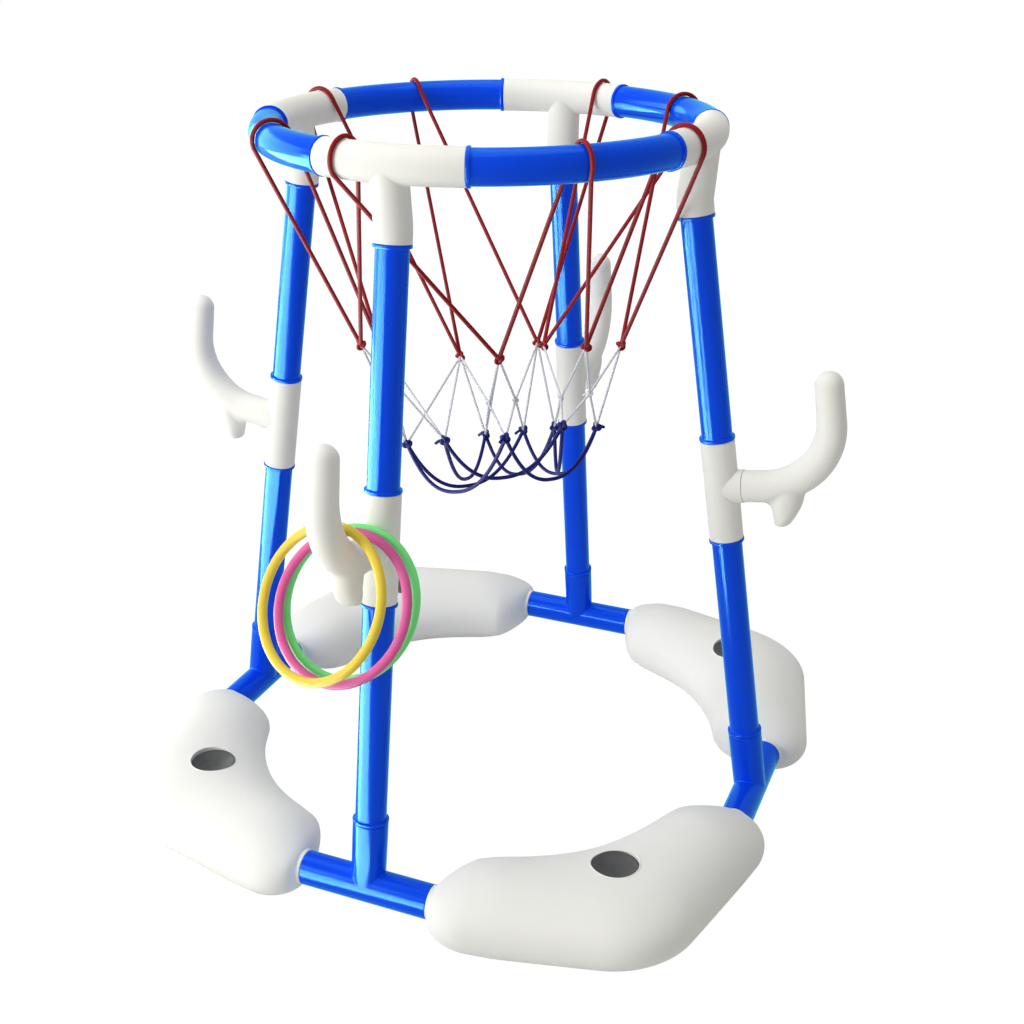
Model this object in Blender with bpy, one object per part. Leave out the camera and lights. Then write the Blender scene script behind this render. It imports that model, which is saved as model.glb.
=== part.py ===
# Pool basketball hoop: float base, four leaning legs with hooks, a round hoop with a cord net, toss rings.
# Metres, Z up, floor at z = 0. The front leg stands towards -Y and the right one towards +X.

import math

import bmesh
import bpy
from mathutils import Matrix, Vector

# Fits between pieces
FIT_GAP = 0.0003
SIDES = 12
SPIGOT_RADIUS = 0.0132
SPIGOT_LENGTH = 0.0220
SHORT_SPIGOT_LENGTH = 0.0110
TUBE_BORE_RADIUS = 0.0112
# A turned spigot clears the flats of its socket
SOCKET_RADIUS = (SPIGOT_RADIUS + FIT_GAP) / math.cos(math.pi / SIDES)

# Hoop
HOOP_RADIUS = 0.2000
HOOP_HEIGHT = 0.6796
ARC_TUBE_RADIUS = 0.0150
ARC_STEPS = 6
BORE_STEPS = 4
TOP_TEE_STEPS = 6
TOP_TEE_HALF_ANGLE = math.radians(18.3)
TEE_RADIUS = 0.0160
RIDGE_RADIUS = 0.0166
RIDGE_WIDTH = 0.0030

# Legs: their axes would meet the hoop a little inside its centre line
LEG_SET_IN = 0.0125
LEG_RADIUS_AT_HOOP = HOOP_RADIUS - LEG_SET_IN
LEG_SPREAD = 0.1540
LEG_ANGLE = math.atan(LEG_SPREAD)
LEG_TUBE_RADIUS = 0.0143
STUB_DROP = 0.0641
STUB_END_HEIGHT = HOOP_HEIGHT - STUB_DROP
STUB_STRAIGHT = 0.0130
STUB_BEND_OUT = 0.0010
STUB_BEND_UP = 0.0110
STUB_RADIUS = 0.0163
BASE_COLLAR_TOP = 0.1048
BASE_TEE_HEIGHT = 0.0405
BASE_TEE_HALF_LENGTH = 0.0640
BASE_REACH = LEG_RADIUS_AT_HOOP + LEG_SPREAD * (HOOP_HEIGHT - BASE_TEE_HEIGHT)

# Hooks: reach is measured away from the leg axis, rise along the leg
HOOK_HEIGHT = 0.3647
CONNECTOR_RISE = 0.0448
CONNECTOR_DROP = 0.0522
CONNECTOR_TOP = HOOK_HEIGHT + CONNECTOR_RISE
CONNECTOR_BOTTOM = HOOK_HEIGHT - CONNECTOR_DROP
SIDE_SOCKET_RADIUS = 0.0156
SIDE_SOCKET_REACH = 0.0215
SIDE_BORE_RADIUS = 0.0117
HOOK_SPIGOT_RADIUS = 0.0110
HOOK_SPIGOT_REACH = 0.0098
HOOK_BORE_RADIUS = 0.0088
HOOK_WALL = 0.0022
ARM_DROP = 0.0008
BEND_START = 0.0400
BEND_REACH = 0.0658
BEND_RISE = 0.0628
FINGER_REACH = BEND_START + BEND_REACH
ARM_RADIUS = 0.0150
HOOK_SIDES = 10
BEND_RADII = (0.0150, 0.0152, 0.0152, 0.0147, 0.0140, 0.0133)
FINGER_STATIONS = ((0.082, 0.0130), (0.0960, 0.0128), (0.1020, 0.0115), (0.1058, 0.0082), (0.1078, 0.0035))
LOBE_STATIONS = (
    (0.0630, 0.0040, 0.0135),
    (0.0625, -0.0060, 0.0146),
    (0.0610, -0.0140, 0.0140),
    (0.0585, -0.0220, 0.0124),
    (0.0562, -0.0300, 0.0100),
    (0.0550, -0.0350, 0.0074),
    (0.0546, -0.0385, 0.0040),
)

# Floats
FLOAT_WALL = 0.0026
FLOAT_CENTRE = 0.0380
FLOAT_OUTER_WIDTH = 0.0446
FLOAT_INNER_WIDTH = 0.0556
FLOAT_OUTER_CORNER_IN = 0.0040
FLOAT_OUTER_CORNER = BASE_REACH - FLOAT_OUTER_CORNER_IN
FLOAT_OUTER_BEND = 0.0840
FLOAT_INNER_CORNER_IN = 0.0965
FLOAT_INNER_CORNER = BASE_REACH - FLOAT_INNER_CORNER_IN
FLOAT_INNER_BEND = 0.2172
FLOAT_END_HEIGHT = 0.0300
FLOAT_MIDDLE_HEIGHT = 0.0386
FLOAT_RISE_SHARE = 0.18
FLOAT_NECK_RADIUS = 0.0165
FLOAT_NECK_LENGTH = 0.0040
FLOAT_SHOULDER = 0.0306
FLOAT_SHOULDER_POWER = 1.76
FLOAT_ROUNDNESS = 2.05
FLOAT_STATIONS = 16
FLOAT_SIDES = 14

# Bungs in the floats
BUNG_SET_IN = 0.07379
BUNG_REACH = BASE_REACH - BUNG_SET_IN
BUNG_RADIUS = 0.0213
BUNG_SUNK = 0.0036
BUNG_TOP = FLOAT_CENTRE + FLOAT_MIDDLE_HEIGHT - BUNG_SUNK
BUNG_DEPTH = 0.0100
BUNG_LIP = 0.0012
BUNG_SIDES = 16
BUNG_HOLE_RADIUS = (BUNG_RADIUS + FIT_GAP) / math.cos(math.pi / BUNG_SIDES)
BUNG_COLLAR_WALL = 0.0024

# Toss rings, hung on the front hook: reach of the arm's centre line in the ring's plane, turn about Z
# and lean in degrees, and gap above the arm
TOSS_RING_RADIUS = 0.0636
TOSS_TUBE_RADIUS = 0.0042
TOSS_SEGMENTS = 28
TOSS_SIDES = 6
TOSS_RINGS = {
    "yellow": (0.0800, -18.0, 29.0, 0.0022),
    "pink": (0.0460, -10.0, 31.0, 0.0017),
    "green": (0.0330, -8.5, 31.0, 0.0013),
}

# Net
CORD_SIDES = 5
RED_CORD_RADIUS = 0.00175
WHITE_CORD_RADIUS = 0.00130
NAVY_CORD_RADIUS = 0.00165
KNOT_RADIUS = 0.0038
KNOT_LENGTH = 0.0120
LOOP_AZIMUTHS = (-102, -45, -12, 45, 78, 135, 168, 225)
# Knots of the crumpled net: azimuth in degrees, radius and drop below the hoop. An upper knot follows
# each loop and a lower knot hangs between each two upper ones
UPPER_KNOTS = (
    (-62.6, 0.1170, 0.1830),
    (-17.8, 0.1170, 0.1843),
    (23.0, 0.1275, 0.2072),
    (71.6, 0.0830, 0.2272),
    (81.8, 0.0955, 0.2301),
    (129.6, 0.1050, 0.2505),
    (197.5, 0.1060, 0.2125),
    (227.5, 0.1300, 0.1894),
)
LOWER_KNOTS = (
    (-56.0, 0.0800, 0.2724),
    (-5.6, 0.0800, 0.2753),
    (28.1, 0.1070, 0.2949),
    (56.8, 0.0800, 0.3077),
    (86.7, 0.0800, 0.3214),
    (116.0, 0.0800, 0.3292),
    (217.5, 0.0830, 0.3004),
    (261.4, 0.0800, 0.2787),
)
# How far each U hangs below its lower knots. Those that cross hang at different depths
NAVY_DROPS = (0.0490, 0.0490, 0.0500, 0.0490, 0.0540, 0.0450, 0.0530, 0.0460)
NAVY_FULLNESS = 2.4
WRAP_STEPS = 8
NAVY_STEPS = 10
ZIGZAG_CUT = 0.0060

SMOOTH_ANGLE = math.radians(40)
UP = Vector((0, 0, 1))
LEGS = {"right": 0, "back": 90, "left": 180, "front": 270}
CORNERS = {"back_right": 0, "back_left": 90, "front_left": 180, "front_right": 270}


# Meshes

def loop(centre, first, second, sides, half_width, half_height=None, power=2.0):
    """A closed section: round, or a fuller rounded oval when power is above 2."""
    half_height = half_height or half_width
    points = []
    for i in range(sides):
        angle = 2 * math.pi * i / sides
        across = math.copysign(abs(math.cos(angle)) ** (2 / power), math.cos(angle))
        along = math.copysign(abs(math.sin(angle)) ** (2 / power), math.sin(angle))
        points.append(centre + first * (half_width * across) + second * (half_height * along))
    return points


def skin(outer, inner=None, ring=False):
    """A closed mesh through successive sections, solid or with a bore open at both ends."""
    work = bmesh.new()
    sides = len(outer[0])

    def layers(sections):
        return [[work.verts.new(point) for point in section] for section in sections]

    def bridge(one, other):
        for i in range(sides):
            j = (i + 1) % sides
            work.faces.new((one[i], one[j], other[j], other[i]))

    outside = layers(outer)
    for one, other in zip(outside, outside[1:]):
        bridge(one, other)
    if ring:
        bridge(outside[-1], outside[0])
    elif inner:
        inside = layers(inner)
        for one, other in zip(inside, inside[1:]):
            bridge(one, other)
        bridge(outside[0], inside[0])
        bridge(outside[-1], inside[-1])
    else:
        work.faces.new(outside[0])
        work.faces.new(outside[-1])
    bmesh.ops.recalc_face_normals(work, faces=work.faces)
    mesh = bpy.data.meshes.new("mesh")
    work.to_mesh(mesh)
    work.free()
    return mesh


def tangents(points, closed=False):
    count = len(points)
    found = []
    for i in range(count):
        before = points[i - 1] if i or closed else points[0]
        after = points[(i + 1) % count] if i < count - 1 or closed else points[-1]
        found.append((after - before).normalized())
    return found


def frames(points, start, closed=False):
    """Section axes carried along a path without twist."""
    side = start
    axes = []
    for direction in tangents(points, closed):
        side = (side - direction * side.dot(direction)).normalized()
        axes.append((side, direction.cross(side)))
    return axes


def sweep(points, radii, start, sides=SIDES):
    """A solid round bar along a path."""
    axes = frames(points, start)
    return skin([loop(p, *a, sides, r) for p, a, r in zip(points, axes, radii)])


def shaped(body_mesh, joined=(), removed=()):
    """One mesh with others joined to it and then others cut from it."""
    helpers = []

    def helper(mesh):
        thing = bpy.data.objects.new("helper", mesh)
        thing.hide_render = True
        thing.display_type = "WIRE"
        bpy.context.scene.collection.objects.link(thing)
        helpers.append(thing)
        return thing

    body = helper(body_mesh)
    for meshes, operation in ((joined, "UNION"), (removed, "DIFFERENCE")):
        for mesh in meshes:
            step = body.modifiers.new(operation, "BOOLEAN")
            step.operation = operation
            step.solver = "EXACT"
            step.object = helper(mesh)
    bpy.context.view_layer.update()
    graph = bpy.context.evaluated_depsgraph_get()
    result = bpy.data.meshes.new_from_object(body.evaluated_get(graph))
    for thing in helpers:
        bpy.data.objects.remove(thing)
    return result


def material(name, colour, roughness):
    found = bpy.data.materials.new(name)
    found.use_nodes = True
    shader = found.node_tree.nodes["Principled BSDF"]
    shader.inputs["Base Color"].default_value = (*colour, 1)
    shader.inputs["Roughness"].default_value = roughness
    shader.inputs["Metallic"].default_value = 0
    return found


def place(name, mesh, colour, origin=None, turn=0):
    """Puts a copy of the mesh in the scene, turned about the hoop axis, with its origin on the given point."""
    origin = origin or sum((v.co for v in mesh.vertices), Vector()) / len(mesh.vertices)
    own = mesh.copy()
    own.transform(Matrix.Translation(-origin))
    own.materials.clear()
    own.materials.append(colour)
    own.shade_smooth()
    own.set_sharp_from_angle(angle=SMOOTH_ANGLE)
    thing = bpy.data.objects.new(name, own)
    turned = Matrix.Rotation(math.radians(turn), 4, "Z")
    thing.location = turned @ origin
    thing.rotation_euler.z = math.radians(turn)
    bpy.context.scene.collection.objects.link(thing)
    return thing


# Places on the leg that stands towards +X

LEG_UP = Vector((-math.sin(LEG_ANGLE), 0, math.cos(LEG_ANGLE)))
LEG_OUT = Vector((math.cos(LEG_ANGLE), 0, math.sin(LEG_ANGLE)))
SIDEWAYS = Vector((0, 1, 0))


def leg_point(height):
    return Vector((LEG_RADIUS_AT_HOOP + LEG_SPREAD * (HOOP_HEIGHT - height), 0, height))


def hook_point(reach, rise):
    return leg_point(HOOK_HEIGHT) + LEG_OUT * reach + LEG_UP * rise


def around(azimuth, radius, height):
    angle = math.radians(azimuth)
    return Vector((radius * math.cos(angle), radius * math.sin(angle), height))


# Tubes with a ridge and a push-fit end at both ends

def ridged_stations(length, radius, first_spigot, last_spigot, steps=1):
    """Distances along a tube and its radius there, from the lower push-fit end to the upper one."""
    body_end = length - RIDGE_WIDTH
    stations = [
        (-first_spigot, SPIGOT_RADIUS),
        (0, SPIGOT_RADIUS),
        (0, RIDGE_RADIUS),
        (RIDGE_WIDTH, RIDGE_RADIUS),
    ]
    for i in range(steps + 1):
        stations.append((RIDGE_WIDTH + (body_end - RIDGE_WIDTH) * i / steps, radius))
    stations += [
        (body_end, RIDGE_RADIUS),
        (length, RIDGE_RADIUS),
        (length, SPIGOT_RADIUS),
        (length + last_spigot, SPIGOT_RADIUS),
    ]
    return stations


def leg_tube(bottom, top, last_spigot):
    start = leg_point(bottom) + LEG_UP * FIT_GAP
    length = (leg_point(top) - leg_point(bottom)).length - 2 * FIT_GAP
    stations = ridged_stations(length, LEG_TUBE_RADIUS, SPIGOT_LENGTH, last_spigot)

    def section(distance, radius):
        return loop(start + LEG_UP * distance, SIDEWAYS, LEG_OUT, SIDES, radius)

    ends = (stations[0][0], stations[-1][0])
    return skin([section(*s) for s in stations], [section(e, TUBE_BORE_RADIUS) for e in ends])


def half_facet(first, second):
    """The same two section axes, turned so that a facet stands where a corner did."""
    step = math.pi / SIDES
    return first * math.cos(step) + second * math.sin(step), second * math.cos(step) - first * math.sin(step)


def hoop_section(azimuth, radius):
    axes = half_facet(UP, around(azimuth, 1, 0))
    return loop(around(azimuth, HOOP_RADIUS, HOOP_HEIGHT), *axes, SIDES, radius)


def hoop_arc():
    """The curved tube between the tees of the right and the back leg."""
    gap_angle = FIT_GAP / HOOP_RADIUS
    start = TOP_TEE_HALF_ANGLE + gap_angle
    length = (math.pi / 2 - 2 * start) * HOOP_RADIUS
    stations = ridged_stations(length, ARC_TUBE_RADIUS, SPIGOT_LENGTH, SPIGOT_LENGTH, ARC_STEPS)
    angles = [math.degrees(start + distance / HOOP_RADIUS) for distance, _ in stations]
    outer = [hoop_section(angle, radius) for angle, (_, radius) in zip(angles, stations)]
    span = angles[-1] - angles[0]
    bore_angles = [angles[0] + span * i / BORE_STEPS for i in range(BORE_STEPS + 1)]
    return skin(outer, [hoop_section(angle, TUBE_BORE_RADIUS) for angle in bore_angles])


# Tees

def top_tee():
    half = math.degrees(TOP_TEE_HALF_ANGLE)
    over = half + 1

    def arms(reach, radius):
        shares = [2 * i / TOP_TEE_STEPS - 1 for i in range(TOP_TEE_STEPS + 1)]
        return skin([hoop_section(reach * share, radius) for share in shares])

    end = leg_point(STUB_END_HEIGHT)
    straight = end + LEG_UP * STUB_STRAIGHT
    bend = straight + Vector((STUB_BEND_OUT, 0, STUB_BEND_UP))
    middle = Vector((HOOP_RADIUS, 0, HOOP_HEIGHT))
    stub = sweep([end, straight, bend, middle], [STUB_RADIUS] * 4, SIDEWAYS)
    below = end - LEG_UP * STUB_STRAIGHT
    bore = sweep([below, end, straight, bend, middle], [SOCKET_RADIUS] * 5, SIDEWAYS)
    return shaped(arms(half, TEE_RADIUS), [stub], [arms(over, SOCKET_RADIUS), bore])


def straight_bar(start, end, radius, first):
    second = (end - start).normalized().cross(first)
    return skin([loop(p, first, second, SIDES, radius) for p in (start, end)])


def base_tee():
    middle = leg_point(BASE_TEE_HEIGHT)
    reach = SIDEWAYS * BASE_TEE_HALF_LENGTH
    over = reach * 1.1
    collar = leg_point(BASE_COLLAR_TOP)
    past = collar + LEG_UP * RIDGE_WIDTH
    arm_facing = half_facet(LEG_OUT, LEG_UP)[0]
    arms = straight_bar(middle - reach, middle + reach, TEE_RADIUS, arm_facing)
    stub = straight_bar(middle, collar, STUB_RADIUS, SIDEWAYS)
    arm_bore = straight_bar(middle - over, middle + over, SOCKET_RADIUS, arm_facing)
    stub_bore = straight_bar(middle, past, SOCKET_RADIUS, SIDEWAYS)
    return shaped(arms, [stub], [arm_bore, stub_bore])


def leg_connector():
    bottom = leg_point(CONNECTOR_BOTTOM)
    top = leg_point(CONNECTOR_TOP)
    past = LEG_UP * RIDGE_WIDTH
    sleeve = straight_bar(bottom, top, TEE_RADIUS, SIDEWAYS)
    bore = straight_bar(bottom - past, top + past, SOCKET_RADIUS, SIDEWAYS)
    root = hook_point(0, -ARM_DROP)
    side = straight_bar(root, hook_point(SIDE_SOCKET_REACH, -ARM_DROP), SIDE_SOCKET_RADIUS, SIDEWAYS)
    side_past = hook_point(SIDE_SOCKET_REACH + RIDGE_WIDTH, -ARM_DROP)
    side_bore = straight_bar(root, side_past, SIDE_BORE_RADIUS, SIDEWAYS)
    return shaped(sleeve, [side], [bore, side_bore])


# Hooks

def arm_point(reach):
    """The arm's centre line in (reach, rise): level, then a quarter oval up into the finger."""
    if reach <= BEND_START:
        return Vector((reach, -ARM_DROP)), Vector((1, 0))
    angle = math.asin((reach - BEND_START) / BEND_REACH)
    rise = BEND_RISE * (1 - math.cos(angle)) - ARM_DROP
    return Vector((reach, rise)), Vector((BEND_REACH * math.cos(angle), BEND_RISE * math.sin(angle))).normalized()


def hook_stations():
    """Reach, rise and radius down the arm, round the bend and up the finger."""
    arm_start = SIDE_SOCKET_REACH + FIT_GAP
    stations = [(arm_start, -ARM_DROP, ARM_RADIUS), (BEND_START, -ARM_DROP, ARM_RADIUS)]
    for i, radius in enumerate(BEND_RADII, 1):
        angle = math.pi / 2 * i / len(BEND_RADII)
        reach = BEND_START + BEND_REACH * math.sin(angle)
        stations.append((reach, BEND_RISE * (1 - math.cos(angle)) - ARM_DROP, radius))
    return stations + [(FINGER_REACH, rise, radius) for rise, radius in FINGER_STATIONS]


def hook_bar(stations):
    points = [hook_point(reach, rise) for reach, rise, _ in stations]
    return sweep(points, [radius for _, _, radius in stations], SIDEWAYS, HOOK_SIDES)


def hook():
    body = hook_stations()
    start = body[0][0]
    axes = (SIDEWAYS, LEG_OUT.cross(SIDEWAYS))
    spigot = [
        loop(hook_point(reach, -ARM_DROP), *axes, HOOK_SIDES, HOOK_SPIGOT_RADIUS)
        for reach in (HOOK_SPIGOT_REACH, start)
    ]
    points = [hook_point(reach, rise) for reach, rise, _ in body]
    sections = [
        loop(p, *a, HOOK_SIDES, r) for p, a, (_, _, r) in zip(points, frames(points, SIDEWAYS), body)
    ]
    outer = skin(spigot + sections)
    mouth = HOOK_SPIGOT_REACH - RIDGE_WIDTH
    hollow = [(mouth, -ARM_DROP, HOOK_BORE_RADIUS), (start, -ARM_DROP, HOOK_BORE_RADIUS)]
    hollow.append((start + 2 * HOOK_WALL, -ARM_DROP, ARM_RADIUS - HOOK_WALL))
    hollow += [(reach, rise, radius - HOOK_WALL) for reach, rise, radius in body[1:-2]]
    lobe_hollow = [(reach, rise, radius - HOOK_WALL) for reach, rise, radius in LOBE_STATIONS[:-1]]
    return shaped(outer, [hook_bar(LOBE_STATIONS)], [hook_bar(hollow), hook_bar(lobe_hollow)])


# Floats: each runs round one corner of the base, between the tees of two legs

def bent_edge(start, corner, radius, share):
    """The point at a share of the way along a straight, a round bend about the corner and its mirror image."""
    onward = (Vector((start.y, start.x)) - corner).normalized()
    forward = (corner - start).normalized()
    turn = forward.angle(onward)
    cut = radius * math.tan(turn / 2)
    straight = (corner - start).length - cut
    past = share * (2 * straight + radius * turn) - straight
    if past <= 0:
        return start + forward * (straight + past)
    if past >= radius * turn:
        return corner + onward * (cut + past - radius * turn)
    angle = past / radius
    side = (onward - forward * math.cos(turn)) / math.sin(turn)
    bend_start = corner - forward * cut
    return bend_start + forward * (radius * math.sin(angle)) + side * (radius * (1 - math.cos(angle)))


def float_stations():
    """Centre, outward direction, half width and half height along the float."""
    face = BASE_TEE_HALF_LENGTH + FIT_GAP
    neck_end = face + FLOAT_NECK_LENGTH
    outer_start = Vector((BASE_REACH + FLOAT_OUTER_WIDTH, neck_end))
    inner_start = Vector((BASE_REACH - FLOAT_INNER_WIDTH, neck_end))
    outer_corner = Vector((FLOAT_OUTER_CORNER, FLOAT_OUTER_CORNER))
    inner_corner = Vector((FLOAT_INNER_CORNER, FLOAT_INNER_CORNER))
    shares = [(1 - math.cos(math.pi * i / FLOAT_STATIONS)) / 2 for i in range(FLOAT_STATIONS + 1)]
    outer = [bent_edge(outer_start, outer_corner, FLOAT_OUTER_BEND, s) for s in shares]
    inner = [bent_edge(inner_start, inner_corner, FLOAT_INNER_BEND, s) for s in shares]
    middle = [(a + b) / 2 for a, b in zip(outer, inner)]
    travelled = [0]
    for one, other in zip(middle, middle[1:]):
        travelled.append(travelled[-1] + (other - one).length)
    length = travelled[-1]
    found = []
    for i, centre in enumerate(middle):
        from_end = min(travelled[i], length - travelled[i])
        left = 1 - min(from_end / FLOAT_SHOULDER, 1)
        swell = (1 - left ** FLOAT_SHOULDER_POWER) ** (1 / FLOAT_SHOULDER_POWER)
        along = min(from_end / (length * FLOAT_RISE_SHARE), 1)
        eased = along * along * (3 - 2 * along)
        full_height = FLOAT_END_HEIGHT + (FLOAT_MIDDLE_HEIGHT - FLOAT_END_HEIGHT) * eased
        half = (outer[i] - inner[i]) / 2
        tube_end = Vector((BASE_REACH, neck_end)) if i < FLOAT_STATIONS / 2 else Vector((neck_end, BASE_REACH))
        drift = (tube_end - (middle[0] if i < FLOAT_STATIONS / 2 else middle[-1])) * (1 - swell)
        height = BASE_TEE_HEIGHT + (FLOAT_CENTRE - BASE_TEE_HEIGHT) * swell
        spot = Vector((*(centre + drift), height))
        width = FLOAT_NECK_RADIUS + (half.length - FLOAT_NECK_RADIUS) * swell
        tall = FLOAT_NECK_RADIUS + (full_height - FLOAT_NECK_RADIUS) * swell
        found.append((spot, Vector((*half.normalized(), 0)), width, tall))
    return found


def float_loop(spot, outward, width, height):
    """A section with level facets at its top and bottom, flattened where it would pass the floor."""
    level = math.cos(math.pi / FLOAT_SIDES) ** (2 / FLOAT_ROUNDNESS)
    points = loop(spot, outward, UP, FLOAT_SIDES, width, height / level, FLOAT_ROUNDNESS)
    for point in points:
        point.z = max(point.z, 0)
    return points


def neck_loops():
    """The push-fit end and the collar at one end of the float, from the tip inwards."""
    face = BASE_TEE_HALF_LENGTH + FIT_GAP
    outward = Vector((1, 0, 0))
    stations = ((face - SPIGOT_LENGTH, SPIGOT_RADIUS), (face, SPIGOT_RADIUS), (face, FLOAT_NECK_RADIUS))
    return [
        loop(Vector((BASE_REACH, along, BASE_TEE_HEIGHT)), outward, UP, FLOAT_SIDES, radius)
        for along, radius in stations
    ]


def mirrored(section):
    """The section as it stands at the other end, across the diagonal of the corner."""
    return [Vector((p.y, p.x, p.z)) for p in section]


def bung_loops(stations):
    """Level sections of the given heights and radii, over the middle of the float."""
    axes = (Vector((1, 0, 0)), Vector((0, 1, 0)))
    return [
        loop(Vector((BUNG_REACH, BUNG_REACH, height)), *axes, BUNG_SIDES, radius)
        for height, radius in stations
    ]


def bung_column(radius, bottom, top):
    return skin(bung_loops([(bottom, radius), (top, radius)]))


def float_shell():
    stations = float_stations()
    neck = neck_loops()
    outer = neck + [float_loop(*s) for s in stations] + [mirrored(s) for s in reversed(neck)]
    hollow = skin([
        float_loop(spot, outward, width - FLOAT_WALL, height - FLOAT_WALL)
        for spot, outward, width, height in stations[1:-1]
    ])
    for vertex in hollow.vertices:
        vertex.co.z = max(vertex.co.z, FLOAT_WALL)
    collar_bottom = BUNG_TOP - BUNG_DEPTH
    above = BUNG_TOP + BUNG_DEPTH
    collar = bung_column(BUNG_HOLE_RADIUS + BUNG_COLLAR_WALL, collar_bottom, above)
    inside = shaped(hollow, removed=[collar])
    hole = bung_column(BUNG_HOLE_RADIUS, collar_bottom - BUNG_DEPTH, above)
    return shaped(skin(outer), removed=[inside, hole])


def bung():
    bottom = BUNG_TOP - BUNG_DEPTH
    return skin(bung_loops([
        (bottom, BUNG_RADIUS - BUNG_LIP),
        (bottom + BUNG_LIP, BUNG_RADIUS),
        (BUNG_TOP - BUNG_LIP / 2, BUNG_RADIUS),
        (BUNG_TOP, BUNG_RADIUS - BUNG_LIP / 2),
    ]))


# Toss rings on the arm of the front hook

def arm_radius(reach):
    stations = hook_stations()
    for (near, _, first), (far, _, last) in zip(stations, stations[1:]):
        if near <= reach <= far:
            return first + (last - first) * (reach - near) / (far - near)
    return ARM_RADIUS


def toss_ring(reach, turn, lean, gap):
    """The ring's mesh and the point on the arm's centre line that it swings about."""
    spot, direction = arm_point(reach)
    to_front = Matrix.Rotation(math.radians(LEGS["front"]), 3, "Z")
    pivot = to_front @ hook_point(*spot)
    along_arm = to_front @ (LEG_OUT * direction.x + LEG_UP * direction.y)
    across = Vector((math.cos(math.radians(turn)), math.sin(math.radians(turn)), 0))
    level = UP.cross(across)
    rise = UP * math.cos(math.radians(lean)) + level * math.sin(math.radians(lean))
    arm_top = arm_radius(reach) * math.cos(math.pi / HOOK_SIDES) / rise.cross(along_arm).length
    centre = pivot + rise * (arm_top + gap + TOSS_TUBE_RADIUS - TOSS_RING_RADIUS)
    axis = across.cross(rise)
    sections = []
    for i in range(TOSS_SEGMENTS):
        angle = 2 * math.pi * i / TOSS_SEGMENTS
        outward = across * math.cos(angle) + rise * math.sin(angle)
        sections.append(loop(centre + outward * TOSS_RING_RADIUS, outward, axis, TOSS_SIDES, TOSS_TUBE_RADIUS))
    return skin(sections, ring=True), pivot


# Net

def knot_point(knot):
    azimuth, radius, drop = knot
    return around(azimuth, radius, HOOP_HEIGHT - drop)


def cord_mesh(points, radii, closed=False):
    axes = frames(points, UP.cross(points[1] - points[0]).normalized(), closed)
    return skin([loop(p, *a, CORD_SIDES, r) for p, a, r in zip(points, axes, radii)], ring=closed)


def knotted(points, radius, at_start=False):
    """Cuts a knot's length off one end of the path and gives the radii that swell there."""
    path = list(reversed(points)) if at_start else list(points)
    end = path[-1]
    inward = (path[-2] - end).normalized()
    neck = end + inward * KNOT_LENGTH
    shoulder = end + inward * (KNOT_LENGTH - KNOT_RADIUS / 2)
    foot = end + inward * (KNOT_RADIUS / 2)
    path = path[:-1] + [neck, shoulder, foot, end]
    radii = [radius] * (len(path) - 3) + [KNOT_RADIUS, KNOT_RADIUS, radius]
    if at_start:
        path.reverse()
        radii.reverse()
    return path, radii


def short_of(end, inward, other_inward, radius):
    """The end of a cord that stops beside the knot of another cord that leaves the same spot."""
    angle = inward.angle(other_inward)
    clear = KNOT_RADIUS + FIT_GAP + radius * abs(math.cos(angle))
    return end + inward * (clear / math.sin(angle))


def red_ends(index):
    """Knot, hoop centre and contact directions of the two strands of one red loop."""
    azimuth = LOOP_AZIMUTHS[index]
    on_tee = index % 2 == 0
    reach = (TEE_RADIUS if on_tee else ARC_TUBE_RADIUS) + FIT_GAP + RED_CORD_RADIUS
    centre = around(azimuth, HOOP_RADIUS, HOOP_HEIGHT)
    outward = around(azimuth, 1, 0)
    return centre, outward, reach, knot_point(UPPER_KNOTS[index - 1]), knot_point(UPPER_KNOTS[index])


def red_path(index):
    """Up from one knot inside the hoop tube, over its top, down its outer side and in to the next knot."""
    centre, outward, reach, before, after = red_ends(index)

    def lift_angle(knot):
        offset = centre - knot
        return math.atan2(offset.z, offset.dot(outward))

    start = lift_angle(before) + math.pi / 2
    end = lift_angle(after) - math.pi / 2
    wrap = []
    for i in range(WRAP_STEPS + 1):
        angle = start + (end - start) * i / WRAP_STEPS
        wrap.append(centre + (outward * math.cos(angle) + UP * math.sin(angle)) * reach)
    return [before] + wrap + [after]


def red_loops():
    paths = [red_path(i) for i in range(len(LOOP_AZIMUTHS))]
    meshes = []
    for i, path in enumerate(paths):
        arriving = paths[i - 1]
        inward = (path[1] - path[0]).normalized()
        other = (arriving[-2] - arriving[-1]).normalized()
        begun = [short_of(path[0], inward, other, RED_CORD_RADIUS)] + path[1:]
        meshes.append(cord_mesh(*knotted(begun, RED_CORD_RADIUS)))
    return meshes


def rounded(corners, cut):
    """A closed path through the corners, each turned on a short curve that passes through the corner."""
    count = len(corners)
    path = []
    for i, corner in enumerate(corners):
        near = corner + (corners[i - 1] - corner).normalized() * cut
        far = corner + (corners[(i + 1) % count] - corner).normalized() * cut
        pull = corner * 2 - (near + far) / 2
        for share in (0, 0.5, 1):
            path.append(near * (1 - share) ** 2 + pull * 2 * share * (1 - share) + far * share ** 2)
    return path


def white_zigzag():
    clear = UP * (WHITE_CORD_RADIUS + FIT_GAP)
    corners = []
    for upper, lower in zip(UPPER_KNOTS, LOWER_KNOTS):
        corners += [knot_point(upper) - clear, knot_point(lower) + clear]
    path = rounded(corners, ZIGZAG_CUT)
    return cord_mesh(path, [WHITE_CORD_RADIUS] * len(path), closed=True)


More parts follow.
